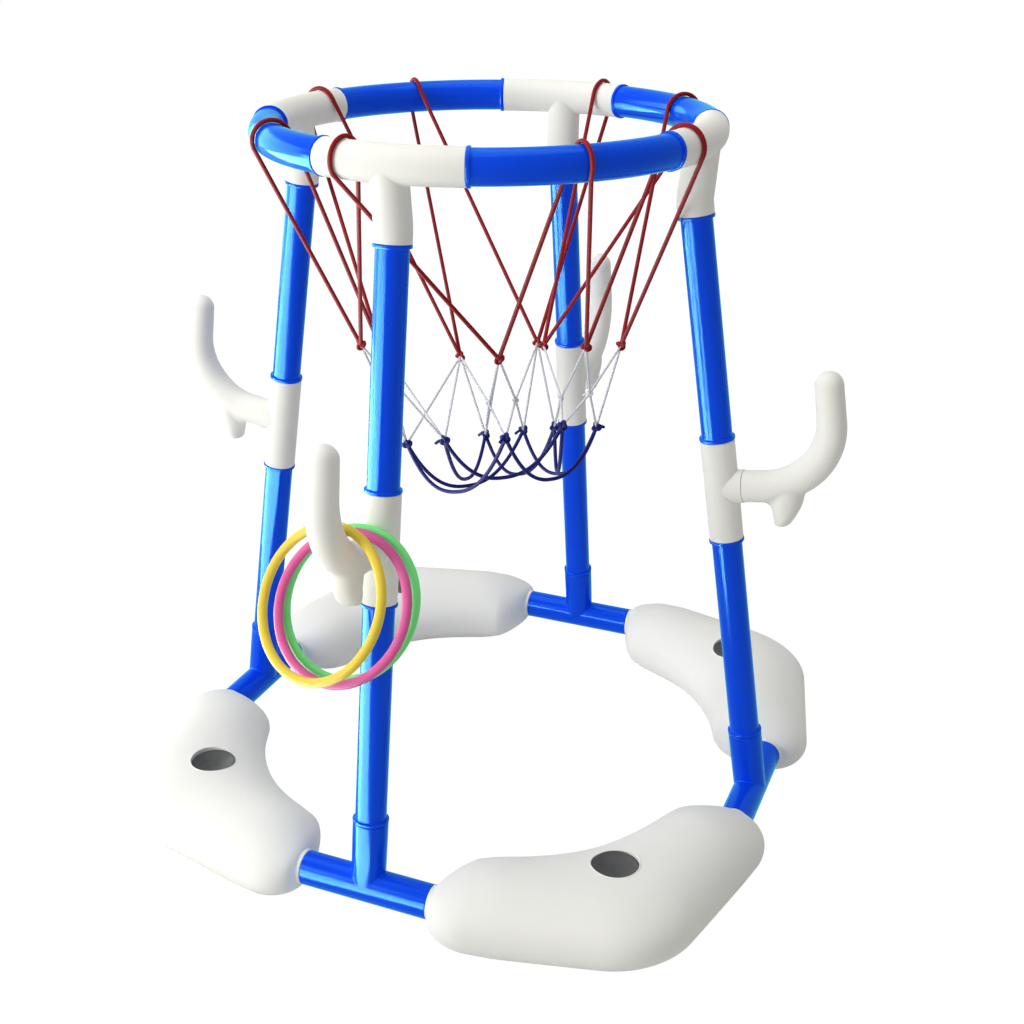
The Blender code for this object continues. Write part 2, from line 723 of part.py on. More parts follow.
def navy_path(index):
    """One U that hangs in the upright plane through a lower knot and the next but one."""
    start = knot_point(LOWER_KNOTS[index])
    end = knot_point(LOWER_KNOTS[(index + 2) % len(LOWER_KNOTS)])
    path = []
    for i in range(NAVY_STEPS + 1):
        share = i / NAVY_STEPS
        depth = 1 - abs(2 * share - 1) ** NAVY_FULLNESS
        path.append(start.lerp(end, share) - UP * NAVY_DROPS[index] * depth)
    return path


def navy_cords():
    paths = [navy_path(i) for i in range(len(LOWER_KNOTS))]
    meshes = []
    for i, path in enumerate(paths):
        leaving = paths[(i + 2) % len(paths)]
        inward = (path[-2] - path[-1]).normalized()
        other = (leaving[1] - leaving[0]).normalized()
        ended = path[:-1] + [short_of(path[-1], inward, other, NAVY_CORD_RADIUS)]
        meshes.append(cord_mesh(*knotted(ended, NAVY_CORD_RADIUS, at_start=True)))
    return meshes


def build():
    for thing in list(bpy.data.objects):
        bpy.data.objects.remove(thing)

    blue = material("blue_plastic", (0.010, 0.060, 0.640), 0.25)
    white = material("white_plastic", (0.85, 0.85, 0.82), 0.40)
    rubber = material("dark_rubber", (0.030, 0.032, 0.035), 0.75)
    cord_colours = {
        "red": material("red_cord", (0.400, 0.010, 0.018), 0.85),
        "white": material("white_cord", (0.780, 0.780, 0.770), 0.85),
        "navy": material("navy_cord", (0.010, 0.012, 0.120), 0.85),
    }
    ring_colours = {
        "yellow": material("yellow_plastic", (0.900, 0.640, 0.060), 0.35),
        "pink": material("pink_plastic", (0.880, 0.200, 0.380), 0.35),
        "green": material("green_plastic", (0.120, 0.560, 0.140), 0.35),
    }

    swivel = leg_point(HOOK_HEIGHT)
    leg_pieces = {
        "base_tee": (base_tee(), blue, None),
        "lower_tube": (leg_tube(BASE_COLLAR_TOP, CONNECTOR_BOTTOM, SPIGOT_LENGTH), blue, None),
        "connector": (leg_connector(), white, swivel),
        "hook": (hook(), white, swivel),
        "upper_tube": (leg_tube(CONNECTOR_TOP, STUB_END_HEIGHT, SHORT_SPIGOT_LENGTH), blue, None),
        "top_tee": (top_tee(), white, None),
    }
    for leg, turn in LEGS.items():
        for kind, (mesh, colour, origin) in leg_pieces.items():
            place(f"{kind}_{leg}", mesh, colour, origin, turn)

    corner_pieces = {
        "float": (float_shell(), white, None),
        "bung": (bung(), rubber, Vector((BUNG_REACH, BUNG_REACH, BUNG_TOP))),
        "hoop_arc": (hoop_arc(), blue, None),
    }
    for corner, turn in CORNERS.items():
        for kind, (mesh, colour, origin) in corner_pieces.items():
            place(f"{kind}_{corner}", mesh, colour, origin, turn)

    for name, hang in TOSS_RINGS.items():
        mesh, pivot = toss_ring(*hang)
        place(f"toss_ring_{name}", mesh, ring_colours[name], pivot)

    for i, mesh in enumerate(red_loops(), 1):
        place(f"net_red_{i}", mesh, cord_colours["red"])
    place("net_white", white_zigzag(), cord_colours["white"])
    for i, mesh in enumerate(navy_cords(), 1):
        place(f"net_navy_{i}", mesh, cord_colours["navy"])


build()
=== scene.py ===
import math

import bmesh
import bpy
import numpy as np
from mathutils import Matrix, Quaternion, Vector


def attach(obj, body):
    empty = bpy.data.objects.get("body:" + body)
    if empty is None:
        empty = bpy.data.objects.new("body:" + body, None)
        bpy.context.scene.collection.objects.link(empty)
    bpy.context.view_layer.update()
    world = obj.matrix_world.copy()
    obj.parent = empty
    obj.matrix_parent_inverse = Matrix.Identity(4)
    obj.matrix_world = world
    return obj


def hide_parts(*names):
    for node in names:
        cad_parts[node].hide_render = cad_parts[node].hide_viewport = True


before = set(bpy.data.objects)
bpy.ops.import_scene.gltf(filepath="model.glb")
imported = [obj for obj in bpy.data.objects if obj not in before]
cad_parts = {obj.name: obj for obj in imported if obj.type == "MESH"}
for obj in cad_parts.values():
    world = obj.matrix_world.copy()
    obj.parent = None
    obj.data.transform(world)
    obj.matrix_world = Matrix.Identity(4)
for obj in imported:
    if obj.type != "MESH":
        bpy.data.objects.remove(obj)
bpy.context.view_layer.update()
print("frame loaded:", len(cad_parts), "solids")

legTurns = dict(right=0, back=90, left=180, front=270)
cornerTurns = dict(back_right=0, back_left=90, front_left=180, front_right=270)
fitGap = 0.0003        # metres between pieces that are pushed together


def addObject(name, data):
    thing = bpy.data.objects.new(name, data)
    bpy.context.scene.collection.objects.link(thing)
    return thing


# Puts a camera or a lamp in place, facing its target and turned about its own line of sight
def aim(thing, place, target, turn):
    facing = (Vector(target) - Vector(place)).to_track_quat("-Z", "Y")
    thing.location = place
    thing.rotation_mode = "QUATERNION"
    thing.rotation_quaternion = facing @ Quaternion((0, 0, 1), math.radians(turn))


# Camera

# Where the photograph was taken from, found from the hoop rim, the legs and the floats. Metres and degrees
cameraFit = dict(
    place=(0.51992, -1.21731, 0.88836), looksAt=(0.0, 0.0, 0.3055), roll=-0.1985,
    lens=50.31, sensorWidth=36, axisPixel=(489.52, 503.89), imageSide=1024,
)


def addCamera():
    camera = addObject("camera", bpy.data.cameras.new("camera"))
    aim(camera, cameraFit["place"], cameraFit["looksAt"], cameraFit["roll"])
    camera.data.lens = cameraFit["lens"]
    camera.data.sensor_width = cameraFit["sensorWidth"]
    across, down = cameraFit["axisPixel"]
    side = cameraFit["imageSide"]
    camera.data.shift_x = (side / 2 - across) / side
    camera.data.shift_y = (down - side / 2) / side
    bpy.context.scene.camera = camera


addCamera()
print("camera placed")


# Paths and grids

def unit(vectors):
    return vectors / np.linalg.norm(vectors, axis=-1, keepdims=True)


# The length of the path up to each of its points
def travelled(path):
    return np.concatenate([[0], np.cumsum(np.linalg.norm(np.diff(path, axis=0), axis=1))])


# The point of a path at each distance, its forward direction, and two axes across it: the side vector
# with its forward share taken out, and forward x that
def alongPath(path, side, distance):
    gone = travelled(path)
    slopes = unit(np.gradient(path, gone, axis=0))

    def pick(table):
        return np.stack([np.interp(distance, gone, table[:, k]) for k in range(3)], axis=-1)

    forward = unit(pick(slopes))
    spot = pick(path) + forward * (distance - np.clip(distance, 0, gone[-1]))[..., None]
    first = unit(side - forward * (forward @ side)[..., None])
    return spot, forward, first, np.cross(forward, first)


def roundAngles(columns):
    return np.arange(columns) * 2 * np.pi / columns


# A round surface about a path: spot(distance) + radius (first cos(angle) + second sin(angle))
def carried(path, side, distance, radius, columns=64):
    distance = np.asarray(distance, float)
    radius = np.broadcast_to(np.asarray(radius, float), distance.shape)
    if distance.ndim == 1:
        distance, radius = distance[:, None], radius[:, None]
    angle = roundAngles(columns)[None, :, None]
    spot, _, first, second = alongPath(path, side, distance)
    return spot + radius[..., None] * (first * np.cos(angle) + second * np.sin(angle))


# An outline of (distance, radius) with its corners rounded: each gives way to the curve
# (1-u)^2 near + 2u(1-u) corner + u^2 far, and one more point on either side holds the straight
def softCorners(outline, size, looped=True, steps=5, mostOfSide=0.3, holdShare=0.4):
    outline = np.asarray(outline, float)
    corner = outline if looped else outline[1:-1]
    back = (np.roll(outline, 1, axis=0) if looped else outline[:-2]) - corner
    ahead = (np.roll(outline, -1, axis=0) if looped else outline[2:]) - corner
    shorter = np.minimum(np.linalg.norm(back, axis=1), np.linalg.norm(ahead, axis=1))[:, None]
    cut = np.minimum(size, mostOfSide * shorter)
    near, far = corner + unit(back) * cut, corner + unit(ahead) * cut
    nearHold, farHold = near + (near - corner) * holdShare, far + (far - corner) * holdShare
    u = np.linspace(0, 1, steps)[None, :, None]
    curve = near[:, None] * (1 - u) ** 2 + corner[:, None] * 2 * u * (1 - u) + far[:, None] * u ** 2
    points = np.concatenate([nearHold[:, None], curve, farHold[:, None]], axis=1).reshape(-1, 2)
    return points if looped else np.concatenate([outline[:1], points, outline[-1:]])


# A closed outline with points added so that none stand further apart than the step
def refined(outline, step):
    onward = np.roll(outline, -1, axis=0) - outline
    count = np.maximum(1, np.ceil(np.linalg.norm(onward, axis=1) / step)).astype(int)
    index = np.repeat(np.arange(len(outline)), count)
    share = (np.arange(count.sum()) - np.repeat(np.cumsum(count) - count, count)) / count[index]
    return outline[index] + onward[index] * share[:, None]


# Cubic through the stations: h00 y0 + h10 w m0 + h01 y1 + h11 w m1, its slopes m from the neighbours
def eased(at, stations, values):
    slopes = np.gradient(values, stations)
    i = np.clip(np.searchsorted(stations, at) - 1, 0, len(stations) - 2)
    width = stations[i + 1] - stations[i]
    t = np.clip((at - stations[i]) / width, 0, 1)
    rise = (2 * t ** 3 - 3 * t ** 2 + 1) * values[i] + (3 * t ** 2 - 2 * t ** 3) * values[i + 1]
    return rise + width * ((t ** 3 - 2 * t ** 2 + t) * slopes[i] + (t ** 3 - t ** 2) * slopes[i + 1])


# The index of the path's nearest point to each point, and its distance
def nearestOn(path, points):
    shape = points.shape[:-1]
    flat = points.reshape(-1, 3).astype(np.float32)
    spots = path.astype(np.float32)
    away = (flat ** 2).sum(1)[:, None] - 2 * flat @ spots.T + (spots ** 2).sum(1)[None]
    index = away.argmin(axis=1)
    distance = np.linalg.norm(points.reshape(-1, 3) - path[index], axis=1)
    return index.reshape(shape), distance.reshape(shape)


# Points turned about the hoop axis: (x cos - y sin, x sin + y cos, z)
def turned(points, degrees):
    c, s = math.cos(math.radians(degrees)), math.sin(math.radians(degrees))
    x, y, z = points[..., 0], points[..., 1], points[..., 2]
    return np.stack([c * x - s * y, s * x + c * y, z], axis=-1)


# A branch that leaves a main tube, with a rounded inner corner. Under each angle of the branch the seam is
# the first distance at which it lies outside the main tube. The corner is the curve
# (1-u)^2 onMain + 2u(1-u) seam + u^2 onBranch, whose ends lie on the two tubes, both at
# rollRadius / tan(half the angle between the surfaces) from the seam. Its edge is tucked under the main skin
def branchGrid(path, side, stations, closing, mainPath, mainRadii, rollRadius, columns=96, searchShare=0.85,
               searchSteps=260, mostRoll=1.6, cornerRows=9, straightRows=14, clearance=0.0005, tuck=0.0002,
               tuckDepth=0.0012, skinDepth=0.00003):
    stations = np.asarray(stations, float)
    mainRadii = np.broadcast_to(mainRadii, len(mainPath))

    def branchPoint(distance):
        return carried(path, side, distance, np.interp(distance, *stations.T), columns)

    reach = np.linspace(0, stations[-1, 0] * searchShare, searchSteps)
    index, away = nearestOn(mainPath, branchPoint(reach))
    beyond = away - mainRadii[index]
    row = len(reach) - (beyond[::-1] <= 0).argmax(axis=0)
    row = np.clip(row, 1, len(reach) - 1)
    column = np.arange(columns)
    before, after = beyond[row - 1, column], beyond[row, column]
    seamAt = reach[row - 1] + (reach[row] - reach[row - 1]) * np.clip(before / (before - after), 0, 1)
    smoothing = np.exp(-np.arange(-3, 4) ** 2 / 4.0)
    wrapped = np.concatenate([seamAt[-3:], seamAt, seamAt[:3]])
    seamAt = np.convolve(wrapped, smoothing / smoothing.sum(), mode="valid")
    seam = branchPoint(seamAt[None])[0]
    index, _ = nearestOn(mainPath, seam)
    _, forward, first, second = alongPath(path, side, seamAt)
    angle = roundAngles(columns)[:, None]
    outward = first * np.cos(angle) + second * np.sin(angle)
    normal = unit(seam - mainPath[index])
    lean = outward - normal * (outward * normal).sum(1)[:, None]
    lean = lean / np.maximum(np.linalg.norm(lean, axis=1, keepdims=True), 1e-6)
    opening = np.arccos(np.clip((lean * forward).sum(1), -1, 1))
    size = np.minimum(rollRadius / np.tan(opening / 2), rollRadius * mostRoll)[:, None]

    def onSurface(points, lift):
        index, _ = nearestOn(mainPath, points)
        return mainPath[index] + unit(points - mainPath[index]) * (mainRadii[index][:, None] + lift)

    onMain = onSurface(seam + lean * size, 0)
    onBranch = branchPoint((seamAt + size[:, 0])[None])[0]
    u = np.linspace(0, 1, cornerRows)[:, None, None]
    corner = onMain * (1 - u) ** 2 + seam * 2 * u * (1 - u) + onBranch * u ** 2
    tucked = seam + lean * (size + tuck)
    hidden, held = onSurface(tucked, -tuckDepth), onSurface(tucked, -skinDepth)
    start = seamAt + size[:, 0]
    firstStation = stations[stations[:, 0] > start.max() + clearance][0, 0]
    share = np.linspace(0, 1, straightRows)[1:, None]
    straight = branchPoint(start * (1 - share) + firstStation * share)
    rest = np.concatenate([stations[stations[:, 0] > firstStation], np.asarray(closing, float).reshape(-1, 2)])
    end = carried(path, side, rest[:, 0], rest[:, 1], columns)
    return np.concatenate([hidden[None], held[None], corner, straight, end])


# The quads of a grid, closed round each row and, if looped, round each column
def gridFaces(rows, columns, looped):
    i = np.arange(rows if looped else rows - 1)[:, None]
    j = np.arange(columns)[None, :]
    onI, onJ = (i + 1) % rows, (j + 1) % columns
    corners = np.broadcast_arrays(i * columns + j, i * columns + onJ, onI * columns + onJ, onI * columns + j)
    return np.stack(corners, axis=-1).reshape(-1, 4)


# One mesh from closed shells. A shell is a grid, an open one gets a cap at both ends, and one that encloses
# a negative volume is turned so that its faces point outwards. The UV map holds the share of the way round
# the section and the metres along it
def shellMesh(name, shells):
    points, faces, maps, count = [], [], [], 0
    for grid, looped in shells:
        rows, columns = grid.shape[:2]
        quads = gridFaces(rows, columns, looped)
        flat = grid.reshape(-1, 3)
        a, b, c, d = ((flat - flat.mean(axis=0))[quads[:, k]] for k in range(4))
        insideOut = (a * np.cross(b, c) + a * np.cross(c, d)).sum() < 0
        gone = travelled(grid.mean(axis=1))
        gone = np.append(gone, gone[-1])
        i, j = np.divmod(np.arange(len(quads)), columns)
        around = np.stack([j, j + 1, j + 1, j], axis=1) / columns
        along = np.stack([gone[i], gone[i], gone[i + 1], gone[i + 1]], axis=1)
        uv = np.stack([around, along], axis=-1)
        caps = [] if looped else [list(range(columns))[::-1], list(range((rows - 1) * columns, rows * columns))]
        if insideOut:
            quads, uv, caps = quads[:, ::-1], uv[:, ::-1], [cap[::-1] for cap in caps]
        points.append(flat)
        faces += (quads + count).tolist() + [[v + count for v in cap] for cap in caps]
        maps += [uv.reshape(-1, 2), np.zeros((sum(len(cap) for cap in caps), 2))]
        count += len(flat)
    mesh = bpy.data.meshes.new(name)
    mesh.from_pydata(np.concatenate(points).tolist(), [], faces)
    mesh.uv_layers.new(name="UVMap").data.foreach_set("uv", np.concatenate(maps).ravel())
    mesh.update()
    return mesh


sharpAngles = dict(piece=60, floatSkin=40)        # degrees past which an edge stays crisp


def smoothed(mesh, sharpAngle):
    mesh.shade_smooth()
    mesh.set_sharp_from_angle(angle=math.radians(sharpAngle))


def addPiece(name, body, shells, finish, nodes):
    mesh = shellMesh(name, shells)
    smoothed(mesh, sharpAngles["piece"])
    mesh.materials.append(finish)
    piece = addObject(name, mesh)
    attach(piece, body)
    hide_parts(*nodes)
    return piece


# The same shells at each leg or corner, with the place's name in those of the piece, its body and its node
def addAround(turns, name, body, shells, finish, node):
    for place, turn in turns.items():
        placed = [(turned(grid, turn), looped) for grid, looped in shells]
        addPiece(f"{name}_{place}", body.format(place), placed, finish, [f"{node}_{place}"])


# Finishes

def toLinear(hexColour):
    levels = [int(hexColour[i:i + 2], 16) / 255 for i in (1, 3, 5)]
    return tuple(v / 12.92 if v <= 0.04045 else ((v + 0.055) / 1.055) ** 2.4 for v in levels) + (1,)


# Adds a node, with its socket values, its links from other nodes and its own settings
def addNode(tree, kind, values=None, links=None, **settings):
    node = tree.nodes.new("ShaderNode" + kind)
    for key, value in settings.items():
        setattr(node, key, value)
    for key, value in (values or {}).items():
        node.inputs[key].default_value = value
    for key, (source, output) in (links or {}).items():
        tree.links.new(source.outputs[output], node.inputs[key])
    return node


def newFinish(name):
    finish = bpy.data.materials.new(name)
    finish.use_nodes = True
    finish.node_tree.nodes.clear()
    return finish, finish.node_tree


# Moulded polyethylene: a waxy, semi-gloss plastic. Its colour drifts a little where the wall cooled
# unevenly, and the mould's texture and fine scuffs break up its reflections. Sizes are in metres
def mouldedPolyethylene(name, look):
    finish, tree = newFinish(name)
    place = {"Vector": (addNode(tree, "TexCoord"), "Object")}
    drift, grain = (addNode(tree, "TexNoise", {"Scale": 1 / look[size], "Detail": detail}, place)
                    for size, detail in (("driftSize", 3.0), ("grainSize", 4.0)))
    first, second = (toLinear(colour) for colour in look["colours"])
    colour = addNode(tree, "Mix", {6: first, 7: second}, {0: (drift, 0)}, data_type="RGBA")
    stretch = addNode(tree, "Mapping", {"Scale": look.get("scuffStretch", (1, 1, 1))}, place)
    scuff = addNode(tree, "TexNoise", {"Scale": 1 / look["scuffSize"], "Detail": 2.0}, {"Vector": (stretch, 0)})
    low, high = look["roughness"]
    rough = addNode(tree, "MapRange", {"From Min": 0.3, "From Max": 0.7, "To Min": low, "To Max": high},
                    {"Value": (scuff, 0)})
    bump = addNode(tree, "Bump", {"Strength": look["bump"], "Distance": look["grainDepth"]},
                   {"Height": (grain, 0)})
    shader = addNode(tree, "BsdfPrincipled", look["shader"],
                     {"Base Color": (colour, 2), "Roughness": (rough, 0), "Normal": (bump, 0)})
    if "skin" in look:
        mirror = addNode(tree, "BsdfAnisotropic", {"Color": look["skin"]["tint"]},
                         {"Roughness": (rough, 0), "Normal": (bump, 0)})
        shine = addNode(tree, "Fresnel", {"IOR": look["skin"]["ior"]}, {"Normal": (bump, 0)})
        shader = addNode(tree, "MixShader", None, {0: (shine, 0), 1: (shader, 0), 2: (mirror, 0)})
    addNode(tree, "OutputMaterial", None, {"Surface": (shader, 0)})
    return finish


# Extruded and moulded blue polyethylene: glossier than the white. Its skin mirrors the lamps as a crisp
# pale stripe down each tube, tinted towards cyan by the pigment under it
bluePolyethylene = mouldedPolyethylene("gloss_blue_polyethylene", dict(
    colours=("#053fe2", "#0946e8"), driftSize=0.09, grainSize=0.004, grainDepth=0.0002,
    scuffSize=0.03, scuffStretch=(1, 1, 0.25), roughness=(0.14, 0.20), bump=0.06,
    shader={"Specular IOR Level": 0.0}, skin=dict(ior=1.30, tint=(0.26, 0.95, 1.0, 1.0)),
))

# Light enters the white plastics a little way, and less far in blue
milkyWall = {"IOR": 1.51, "Specular IOR Level": 0.02, "Subsurface Weight": 0.06,
             "Subsurface Radius": (0.004, 0.004, 0.003), "Subsurface Scale": 1.0}

# White moulded tees, sockets and hooks: a warm white with a fine, satin mould texture
whitePolyethylene = mouldedPolyethylene("moulded_white_polyethylene", dict(
    colours=("#f3f2ea", "#edece3"), driftSize=0.07, grainSize=0.0015, grainDepth=0.0001,
    scuffSize=0.02, roughness=(0.48, 0.58), bump=0.12, shader=milkyWall,
))

# Blow-moulded white floats: a thin wall with a satin skin and broad, shallow unevenness
floatPolyethylene = mouldedPolyethylene("blow_moulded_white_polyethylene", dict(
    colours=("#f2f2eb", "#ecece5"), driftSize=0.12, grainSize=0.006, grainDepth=0.0004,
    scuffSize=0.03, roughness=(0.50, 0.60), bump=0.10, shader=milkyWall,
))

# Dark stopper rubber: matt, with a fine moulded grain
darkRubber = mouldedPolyethylene("moulded_dark_rubber", dict(
    colours=("#2f3030", "#393a39"), driftSize=0.02, grainSize=0.0009, grainDepth=0.0001,
    scuffSize=0.006, roughness=(0.55, 0.70), bump=0.25, shader={"IOR": 1.52},
))


# Toss ring hose: a thin extruded tube with a soft gloss
def ringHose(name, colours):
    return mouldedPolyethylene(name, dict(
        colours=colours, driftSize=0.03, grainSize=0.0015, grainDepth=0.00008,
        scuffSize=0.01, roughness=(0.30, 0.38), bump=0.10,
        shader={"IOR": 1.50, "Specular IOR Level": 0.04},
    ))


ringFinishes = dict(
    yellow=ringHose("extruded_yellow_hose", ("#ebd04f", "#e6c944")),
    pink=ringHose("extruded_pink_hose", ("#df6aa6", "#d9629c")),
    green=ringHose("extruded_green_hose", ("#86f591", "#7cf088")),
)


cordLook = dict(
    strands=3, ridgeHeight=0.0006, fibreSize=0.0004, fibreDepth=0.0002, fibreBump=0.2,
    shader={"Roughness": 0.72, "Specular IOR Level": 0.1, "Sheen Weight": 0.1, "Sheen Roughness": 0.4},
)


# Twisted polyester cord: strands laid together, kept matt by their fibres. The strands show as slanting
# ridges |fract(strands x share round + metres along / pitch) - 0.5|, drawn coarser than they are. The colour
# moves from the first towards the second as that value grows, so the grooves between the strands carry painted
# shade
def twistedCord(name, colours, pitch, depth):
    finish, tree = newFinish(name)
    place = addNode(tree, "TexCoord")
    parts = addNode(tree, "SeparateXYZ", None, {"Vector": (place, "UV")})
    lay = addNode(tree, "Math", {1: pitch}, {0: (parts, "Y")}, operation="DIVIDE")
    ridge = addNode(tree, "Math", {1: float(cordLook["strands"])}, {0: (parts, "X"), 2: (lay, 0)},
                    operation="MULTIPLY_ADD")
    for operation, value in (("FRACT", 0.0), ("SUBTRACT", 0.5), ("ABSOLUTE", 0.0)):
        ridge = addNode(tree, "Math", {1: value}, {0: (ridge, 0)}, operation=operation)
    fibre = addNode(tree, "TexNoise", {"Scale": 1 / cordLook["fibreSize"], "Detail": 2.0},
                    {"Vector": (place, "Object")})
    first, second = (toLinear(colour) for colour in colours)
    # Painted shade: the colour darkens towards the second colour in the grooves between the strands
    colour = addNode(tree, "Mix", {6: first, 7: second}, {0: (ridge, 0)}, data_type="RGBA")
    strand = addNode(tree, "Bump", {"Strength": depth, "Distance": cordLook["ridgeHeight"]},
                     {"Height": (ridge, 0)}, invert=True)
    fuzz = addNode(tree, "Bump", {"Strength": cordLook["fibreBump"], "Distance": cordLook["fibreDepth"]},
                   {"Height": (fibre, 0), "Normal": (strand, 0)})
    shader = addNode(tree, "BsdfPrincipled", cordLook["shader"],
                     {"Base Color": (colour, 2), "Normal": (fuzz, 0)})
    addNode(tree, "OutputMaterial", None, {"Surface": (shader, 0)})
    return finish


# The second colour of each cord is the painted shade in the grooves between its strands
redCord = twistedCord("twisted_red_polyester", ("#93151b", "#7e1016"), 0.009, depth=0.2)
whiteCord = twistedCord("twisted_white_polyester", ("#d6d7da", "#cbccd0"), 0.007, depth=0.15)
navyCord = twistedCord("twisted_navy_polyester", ("#151a70", "#0f1358"), 0.009, depth=0.2)
print("finishes made")


# Legs

# The leg that stands towards +X, its hoop and its base: every size in metres
legSizes = dict(
    hoopRadius=0.2, hoopHeight=0.6796, radiusAtHoop=0.1875, spread=0.154,
    tubeRadius=0.0143, arcRadius=0.0150, teeRadius=0.0160, ridgeRadius=0.0166, ridgeWidth=0.0030,
    boreRadius=0.0112, spigotRadius=0.0132, socketRadius=0.0137, spigotLength=0.022, shortSpigot=0.011,
    stubEnd=0.6155, stubStraight=0.0130, bendOut=0.0010, bendUp=0.0110,
    collarTop=0.1048, baseHeight=0.0405, baseHalf=0.0640,
    hookHeight=0.3647, connectorRise=0.0448, connectorDrop=0.0522,
    edge=0.0007, ridgeEdge=0.00098, boreFloor=0.012,
)
legAngle = math.atan(legSizes["spread"])
legUp = np.array([-math.sin(legAngle), 0, math.cos(legAngle)])
legOut = np.array([math.cos(legAngle), 0, math.sin(legAngle)])
sideways = np.array([0.0, 1.0, 0.0])
upwards = np.array([0.0, 0.0, 1.0])


# On the leg's straight centre line: outward = radius at the hoop + spread x (hoop height - height)
def legPoint(height):
    height = np.asarray(height, float)
    outward = legSizes["radiusAtHoop"] + legSizes["spread"] * (legSizes["hoopHeight"] - height)
    return np.stack([outward, np.zeros_like(height), height], axis=-1)


# Out from the leg and up along it, measured from where the hook's arm starts
def hookPoint(reach, rise):
    reach, rise = np.asarray(reach, float), np.asarray(rise, float)
    return legPoint(legSizes["hookHeight"]) + reach[..., None] * legOut + rise[..., None] * legUp


# Outline of a tube with a ridge near both ends and a push-fit end beyond each, and back down its bore
def ridgedOutline(length, radius, firstSpigot, lastSpigot):
    s = legSizes
    ridge, width, spigot, bore = s["ridgeRadius"], s["ridgeWidth"], s["spigotRadius"], s["boreRadius"]
    outer = [(-firstSpigot, spigot), (0, spigot), (0, ridge), (width, ridge), (width, radius),
             (length - width, radius), (length - width, ridge), (length, ridge), (length, spigot),
             (length + lastSpigot, spigot)]
    return softCorners(outer + [(length + lastSpigot, bore), (-firstSpigot, bore)], s["ridgeEdge"])


def addLegTubes():
    s = legSizes
    low, high = s["hookHeight"] - s["connectorDrop"], s["hookHeight"] + s["connectorRise"]
    for name, bottom, top, topSpigot in (("lower", s["collarTop"], low, s["spigotLength"]),
                                         ("upper", high, s["stubEnd"], s["shortSpigot"])):
        ends = legPoint([bottom, top]) + legUp * fitGap * np.array([[1], [-1]])
        length = np.linalg.norm(ends[1] - ends[0])
        outline = refined(ridgedOutline(length, s["tubeRadius"], s["spigotLength"], topSpigot), 0.02)
        grid = carried(ends, sideways, outline[:, 0], outline[:, 1])
        addAround(legTurns, f"{name}Tube", "frame", [(grid, True)], bluePolyethylene, f"{name}_tube")


# The hoop's centre line: (r cos(angle), r sin(angle), hoop height)
def hoopPath(fromDegrees, toDegrees, count=241):
    angle = np.radians(np.linspace(fromDegrees, toDegrees, count))
    r = legSizes["hoopRadius"]
    return np.stack([r * np.cos(angle), r * np.sin(angle), np.full(count, legSizes["hoopHeight"])], axis=1)


# Evenly spaced points between two ends: start (1 - share) + end share
def densePath(ends, count=240):
    share = np.linspace(0, 1, count)[:, None]
    return ends[0] * (1 - share) + ends[1] * share


def addHoopArcs():
    s = legSizes
    start = teeSizes["halfAngle"] + math.degrees(fitGap / s["hoopRadius"])
    length = travelled(hoopPath(start, 90 - start))[-1]
    outline = refined(ridgedOutline(length, s["arcRadius"], s["spigotLength"], s["spigotLength"]), 0.005)
    beyond = math.degrees(s["spigotLength"] / s["hoopRadius"])
    path = hoopPath(start - beyond, 90 - start + beyond, 361)
    grid = carried(path, upwards, outline[:, 0] + s["spigotLength"], outline[:, 1])
    addAround(cornerTurns, "hoopArc", "frame", [(grid, True)], bluePolyethylene, "hoop_arc")


# A straight or curved sleeve about a path, closed back through its bore
def sleeveShell(path, side, step):
    length, radius, bore = travelled(path)[-1], legSizes["teeRadius"], legSizes["socketRadius"]
    outline = [(0, radius), (length, radius), (length, bore), (0, bore)]
    outline = refined(softCorners(outline, legSizes["edge"]), step)
    return carried(path, side, outline[:, 0], outline[:, 1], 96), True


# The end of a socket, turned back down its bore
def mouth(length, straight, radius, bore, edge):
    return softCorners([(length - straight, radius), (length, radius), (length, bore),
                        (legSizes["boreFloor"], bore)], edge, looped=False)


teeSizes = dict(
    halfAngle=18.3,        # degrees of hoop on each side of a top tee's middle
    stubRadius=0.0163, stubRim=0.003, stubSwell=0.004,
    top=dict(rows=12, rootIn=0.0003, corner=0.0022), base=dict(rows=16, rootIn=0.0002, corner=0.0012),
)


# The leg's stub widens from its root to its rim as root + (rim - root) (3g^2 - 2g^3)
def teeShells(name, path, side, step, stubPath):
    s, t, own = legSizes, teeSizes, teeSizes[name]
    length = travelled(stubPath)[-1]
    root, wide = s["teeRadius"] - own["rootIn"], t["stubRadius"]
    grow = np.linspace(0, 1, own["rows"])
    stations = np.stack([grow * (length - t["stubSwell"]),
                         root + (wide - root) * (3 * grow ** 2 - 2 * grow ** 3)], axis=1)
    rim = mouth(length, t["stubRim"], wide, s["socketRadius"], s["edge"])
    stub = branchGrid(stubPath, sideways, stations, rim, path, s["teeRadius"], own["corner"])
    return [sleeveShell(path, side, step), (stub, True)]


# The stub's centre line is the broken line from the hoop to the leg, smoothed with a bell of 41 points
def addTopTees():
    s, half = legSizes, teeSizes["halfAngle"]
    end = legPoint(s["stubEnd"])
    straight = end + legUp * s["stubStraight"]
    bend = straight + np.array([s["bendOut"], 0, s["bendUp"]])
    corners = np.array([[s["hoopRadius"], 0, s["hoopHeight"]], bend, straight, end])
    rough = np.stack([np.interp(np.linspace(0, 3, 160), np.arange(4), corners[:, k]) for k in range(3)], axis=1)
    bell = np.hanning(41) / np.hanning(41).sum()
    padded = np.concatenate([rough[:1] - (rough[1:21] - rough[:1])[::-1], rough,
                             rough[-1:] - (rough[-21:-1] - rough[-1:])[::-1]])
    stubPath = np.stack([np.convolve(padded[:, k], bell, mode="valid") for k in range(3)], axis=1)
    shells = teeShells("top", hoopPath(-half, half), upwards, 0.004, stubPath)
    addAround(legTurns, "topTee", "frame", shells, whitePolyethylene, "top_tee")


